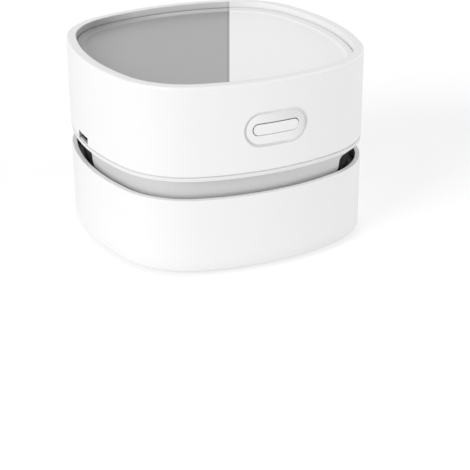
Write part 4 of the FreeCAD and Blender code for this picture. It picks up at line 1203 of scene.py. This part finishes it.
@dataclass
class TopPanel:
    """Panel in the recess of the top, with a sloped margin inside its lip."""

    inset: float = 3.3
    bottom: float = 56.2
    lip_level: float = 58.2
    lip_width: float = 0.22
    lip_round: float = 0.06
    # the lip's inner edge is broken to either side of the slope's start
    edge_width: float = 0.04
    edge_drop: float = 0.03
    slope_width: float = 2.1
    slope_shares: tuple[float, ...] = (0.25, 0.5, 0.75, 0.9)
    floor_level: float = 57.2
    floor_steps: tuple[float, ...] = (0.2, 0.4, 2.0)

    def build(self) -> None:
        """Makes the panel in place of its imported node."""
        start = self.inset + self.lip_width
        foot = start + self.slope_width
        drop = self.lip_level - self.floor_level
        section = [(self.inset, self.bottom), (self.inset, self.lip_level - self.lip_round),
                   (self.inset + self.lip_round, self.lip_level),
                   (start - self.edge_width, self.lip_level),
                   (start + self.edge_width, self.lip_level - self.edge_drop)]
        section += [(start + self.slope_width * share, self.lip_level - drop * share)
                    for share in self.slope_shares]
        section.append((foot, self.floor_level + self.edge_drop))
        section += [(foot + step, self.floor_level) for step in self.floor_steps]
        draft = Draft()
        draft.rod(draft.wall(section, PLAN.facings()))
        draft.piece("top_panel", Body.MOTOR_UNIT, [PANEL_PAINTED_REFLECTION], crease=50.0)


@dataclass
class PowerButton:
    """Pill-shaped push button whose face follows the bow of the wall."""

    level: float = 45.4
    length: float = 15.0
    height: float = 3.4
    # the button sits against the lower right of its slot, as play lets it
    play_across: float = 0.12
    play_down: float = 0.13
    face_radius: float = 78.2
    # inset and depth of the face's rows, from its edge inwards
    face_rows: tuple[Pair, ...] = ((0.0, 0.28), (0.02, 0.16), (0.08, 0.07), (0.17, 0.02),
                                   (0.28, 0.0), (0.6, -0.01), (1.1, -0.015), (1.6, -0.015))
    flange_front: float = -41.05
    flange_back: float = -40.05
    flange_margin: float = 1.5
    flange_bevel: float = 0.1
    stem_radius: float = 2.2
    stem_bevel: float = 0.2
    end_steps: int = 10
    straight_steps: int = 12

    def build(self) -> None:
        """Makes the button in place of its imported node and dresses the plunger."""
        draft = Draft()
        edge = self.make_face(draft)
        back = self.make_back(draft)
        # the sides between the face and the flange get the painted shade
        draft.join([edge, back[0]], finish=1)
        draft.join(back)
        draft.mesh.faces.new(back[-1])
        draft.piece("power_button", Body.BUTTON, [BUTTON_WHITE, BUTTON_SIDE_SHADE],
                    crease=40.0)
        dress(switch_plunger=SWITCH_BLACK)

    def make_face(self, draft: Draft) -> Row:
        """Adds the face, whose middle is closed from top to bottom.

        Args:
            draft: The mesh that gets it.

        Returns:
            Its edge.
        """
        rows = [draft.row(self.on_face(x, z, sink) for x, z in self.pill(inset))
                for inset, sink in self.face_rows]
        inner = rows[-1]
        for number in range(len(inner) // 2):
            corners = (inner[number], inner[number + 1], inner[-number - 1], inner[-number])
            draft.mesh.faces.new(list(dict.fromkeys(corners)))
        draft.join(rows[::-1])
        return rows[0]

    def make_back(self, draft: Draft) -> list[Row]:
        """Adds the rows of the flange and of the stem, which has as many points as the pill.

        Args:
            draft: The mesh that gets them.

        Returns:
            The rows from the front.
        """
        bevel, margin = self.flange_bevel, self.flange_margin
        rows = [draft.row((x, depth, self.level + z) for x, z in self.pill(inset))
                for inset, depth in ((0.0, self.flange_front), (bevel - margin, self.flange_front),
                                     (-margin, self.flange_front + bevel),
                                     (-margin, self.flange_back - bevel),
                                     (bevel - margin, self.flange_back))]
        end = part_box("power_button")[1][1] / MM
        turns = [math.atan2(z / self.height, x / self.length) for x, z in self.pill(0.0)]
        for radius, depth in ((self.stem_radius, self.flange_back),
                              (self.stem_radius, end - self.stem_bevel),
                              (self.stem_radius - self.stem_bevel, end)):
            rows.append(draft.row((radius * math.cos(turn), depth,
                                   self.level + radius * math.sin(turn)) for turn in turns))
        return rows

    def pill(self, inset: float) -> list[Pair]:
        """Outline of the button, from its left end over the top.

        Args:
            inset: How far inside the edge; below zero is outside.

        Returns:
            Points across and up.
        """
        radius = self.height / 2 - inset
        reach = (self.length - self.height) / 2
        quarter = [turned(radius, 0.0, 90 * step / self.end_steps)
                   for step in range(self.end_steps)]
        over = [(-reach - x, z) for x, z in quarter]
        over += [(reach * (2 * step / self.straight_steps - 1), radius)
                 for step in range(self.straight_steps)]
        over += [(reach + z, x) for x, z in quarter]
        return over + [(reach + radius, 0.0)] + [(x, -z) for x, z in reversed(over[1:])]

    def on_face(self, x: float, z: float, sink: float) -> Point:
        """A point on the bowed face.

        Args:
            x: Its place to the right of the button's middle.
            z: Its place above it.
            sink: How far below the skin.

        Returns:
            The point.
        """
        across = x + self.play_across
        bow = math.sqrt((self.face_radius - sink) ** 2 - across ** 2)
        return across, -PLAN.side_centre - bow, self.level - self.play_down + z


@dataclass
class MotorUnit:
    """Upper half: shell, base plate, charging port and all that drives the fan."""

    case_circle: float = 40.5
    case_angles: tuple[float, ...] = (45, 135, 225, 315)

    def build(self) -> None:
        """Dresses the unit's nodes and makes its case screws."""
        dress(upper_shell=RECESS_WHITE, motor_plate=PLATE_WHITE, motor_can=CAN_STEEL,
              motor_end_cap=CAP_NYLON, motor_bushing=BRONZE, motor_terminals=BRASS,
              motor_damper=DAMPER_RUBBER, motor_screws=SCREW_STEEL, battery_cell=CELL_WRAP,
              battery_tabs=NICKEL, charge_board=BOARD_GREEN, charge_screws=SCREW_STEEL,
              charge_socket=SOCKET_STEEL, socket_tongue=SWITCH_BLACK, switch_board=BOARD_GREEN,
              switch_screws=SCREW_STEEL, push_switch=SWITCH_BLACK)
        ScrewSet("case_screws", Body.MOTOR_UNIT, self.case_circle, self.case_angles).build()


# ---- studio

@dataclass
class Studio:
    """Pale floor, soft light and the camera."""

    eye: Point = (-175.6, -378.1, 187.5)
    look: Point = (0.3946, 0.8149, -0.4246)
    roll: float = 0.18
    focal: float = 104.98
    sensor: float = 36.0
    # in metres
    clip: Pair = (0.01, 50.0)
    floor_reach: float = 4000.0
    floor_sides: int = 96
    # light from the world on surfaces; seen directly it is 1, which is white
    world_level: float = 0.635
    # the way from the object to each lamp, and how bright it makes white paper that faces it
    lamps: tuple[tuple[str, Point, float], ...] = (
        ("key_light", (-0.90, -0.29, 0.33), 0.41), ("fill_light", (0.80, -0.56, 0.20), 0.20),
        ("edge_light", (0.95, 0.30, 0.05), 0.10))
    lamp_spread: float = 35.0

    def build(self) -> None:
        """Makes the floor, the lamps, the world and the camera."""
        bpy.context.scene.view_settings.view_transform = "Standard"
        self.make_floor()
        self.make_world()
        for name, way, level in self.lamps:
            light = bpy.data.lights.new(name, "SUN")
            light.angle = math.radians(self.lamp_spread)
            light.energy = math.pi * level
            self.aim(name, light, Vector(way), -Vector(way))
        lens = bpy.data.cameras.new("camera")
        lens.sensor_width, lens.lens = self.sensor, self.focal
        lens.clip_start, lens.clip_end = self.clip
        bpy.context.scene.camera = self.aim("camera", lens, Vector(self.eye) * MM,
                                            Vector(self.look), self.roll)

    def aim(self, name: str, data: bpy.types.ID, spot: Vector, way: Vector,
            roll: float = 0.0) -> bpy.types.Object:
        """Places a lamp or the camera.

        Args:
            name: The object's name.
            data: What it shows with.
            spot: Where it stands, in metres.
            way: The direction in which it looks.
            roll: How far it is turned about that direction, in degrees.

        Returns:
            The object.
        """
        made = bpy.data.objects.new(name, data)
        made.location = spot
        made.rotation_mode = "QUATERNION"
        made.rotation_quaternion = (Quaternion(way.normalized(), math.radians(roll))
                                    @ way.to_track_quat("-Z", "Y"))
        bpy.context.scene.collection.objects.link(made)
        return made

    def make_floor(self) -> None:
        """A wide paper disc at the level that the feet stand on."""
        draft = Draft()
        edge = draft.rings((0.0, 0.0), [(self.floor_reach, 0.0)], self.floor_sides)[0]
        draft.mesh.faces.new(edge)
        floor = draft.solid("studio_floor")
        floor.data.materials.append(FLOOR_PAPER.make())

    def make_world(self) -> None:
        """Even white light, with pure white behind the object and in its reflections."""
        world = bpy.data.worlds.new("studio_world")
        bpy.context.scene.world = world
        sky = Graph(world)
        rays = sky.add("LightPath").outputs
        seen = reduce(lambda one, other: sky.add("Math", {"operation": "MAXIMUM"}, one, other),
                      [rays[f"Is {kind} Ray"] for kind in ("Camera", "Glossy", "Transmission")])
        level = sky.add("MapRange", {"To Min": self.world_level}, seen)
        sky.add("OutputWorld", {}, sky.add("Background", {}, linear("#ffffff"), level))


def main() -> None:
    """Builds and dresses the sub-assemblies in order, then the studio."""
    logging.basicConfig(level=logging.INFO, format="%(message)s")
    for assembly in (DustBox(), SuctionBrush(), FilterCassette(), NeckAndFan(), MotorUnit(),
                     TopPanel(), PowerButton(), Studio()):
        assembly.build()


if __name__ == "__main__":
    main()
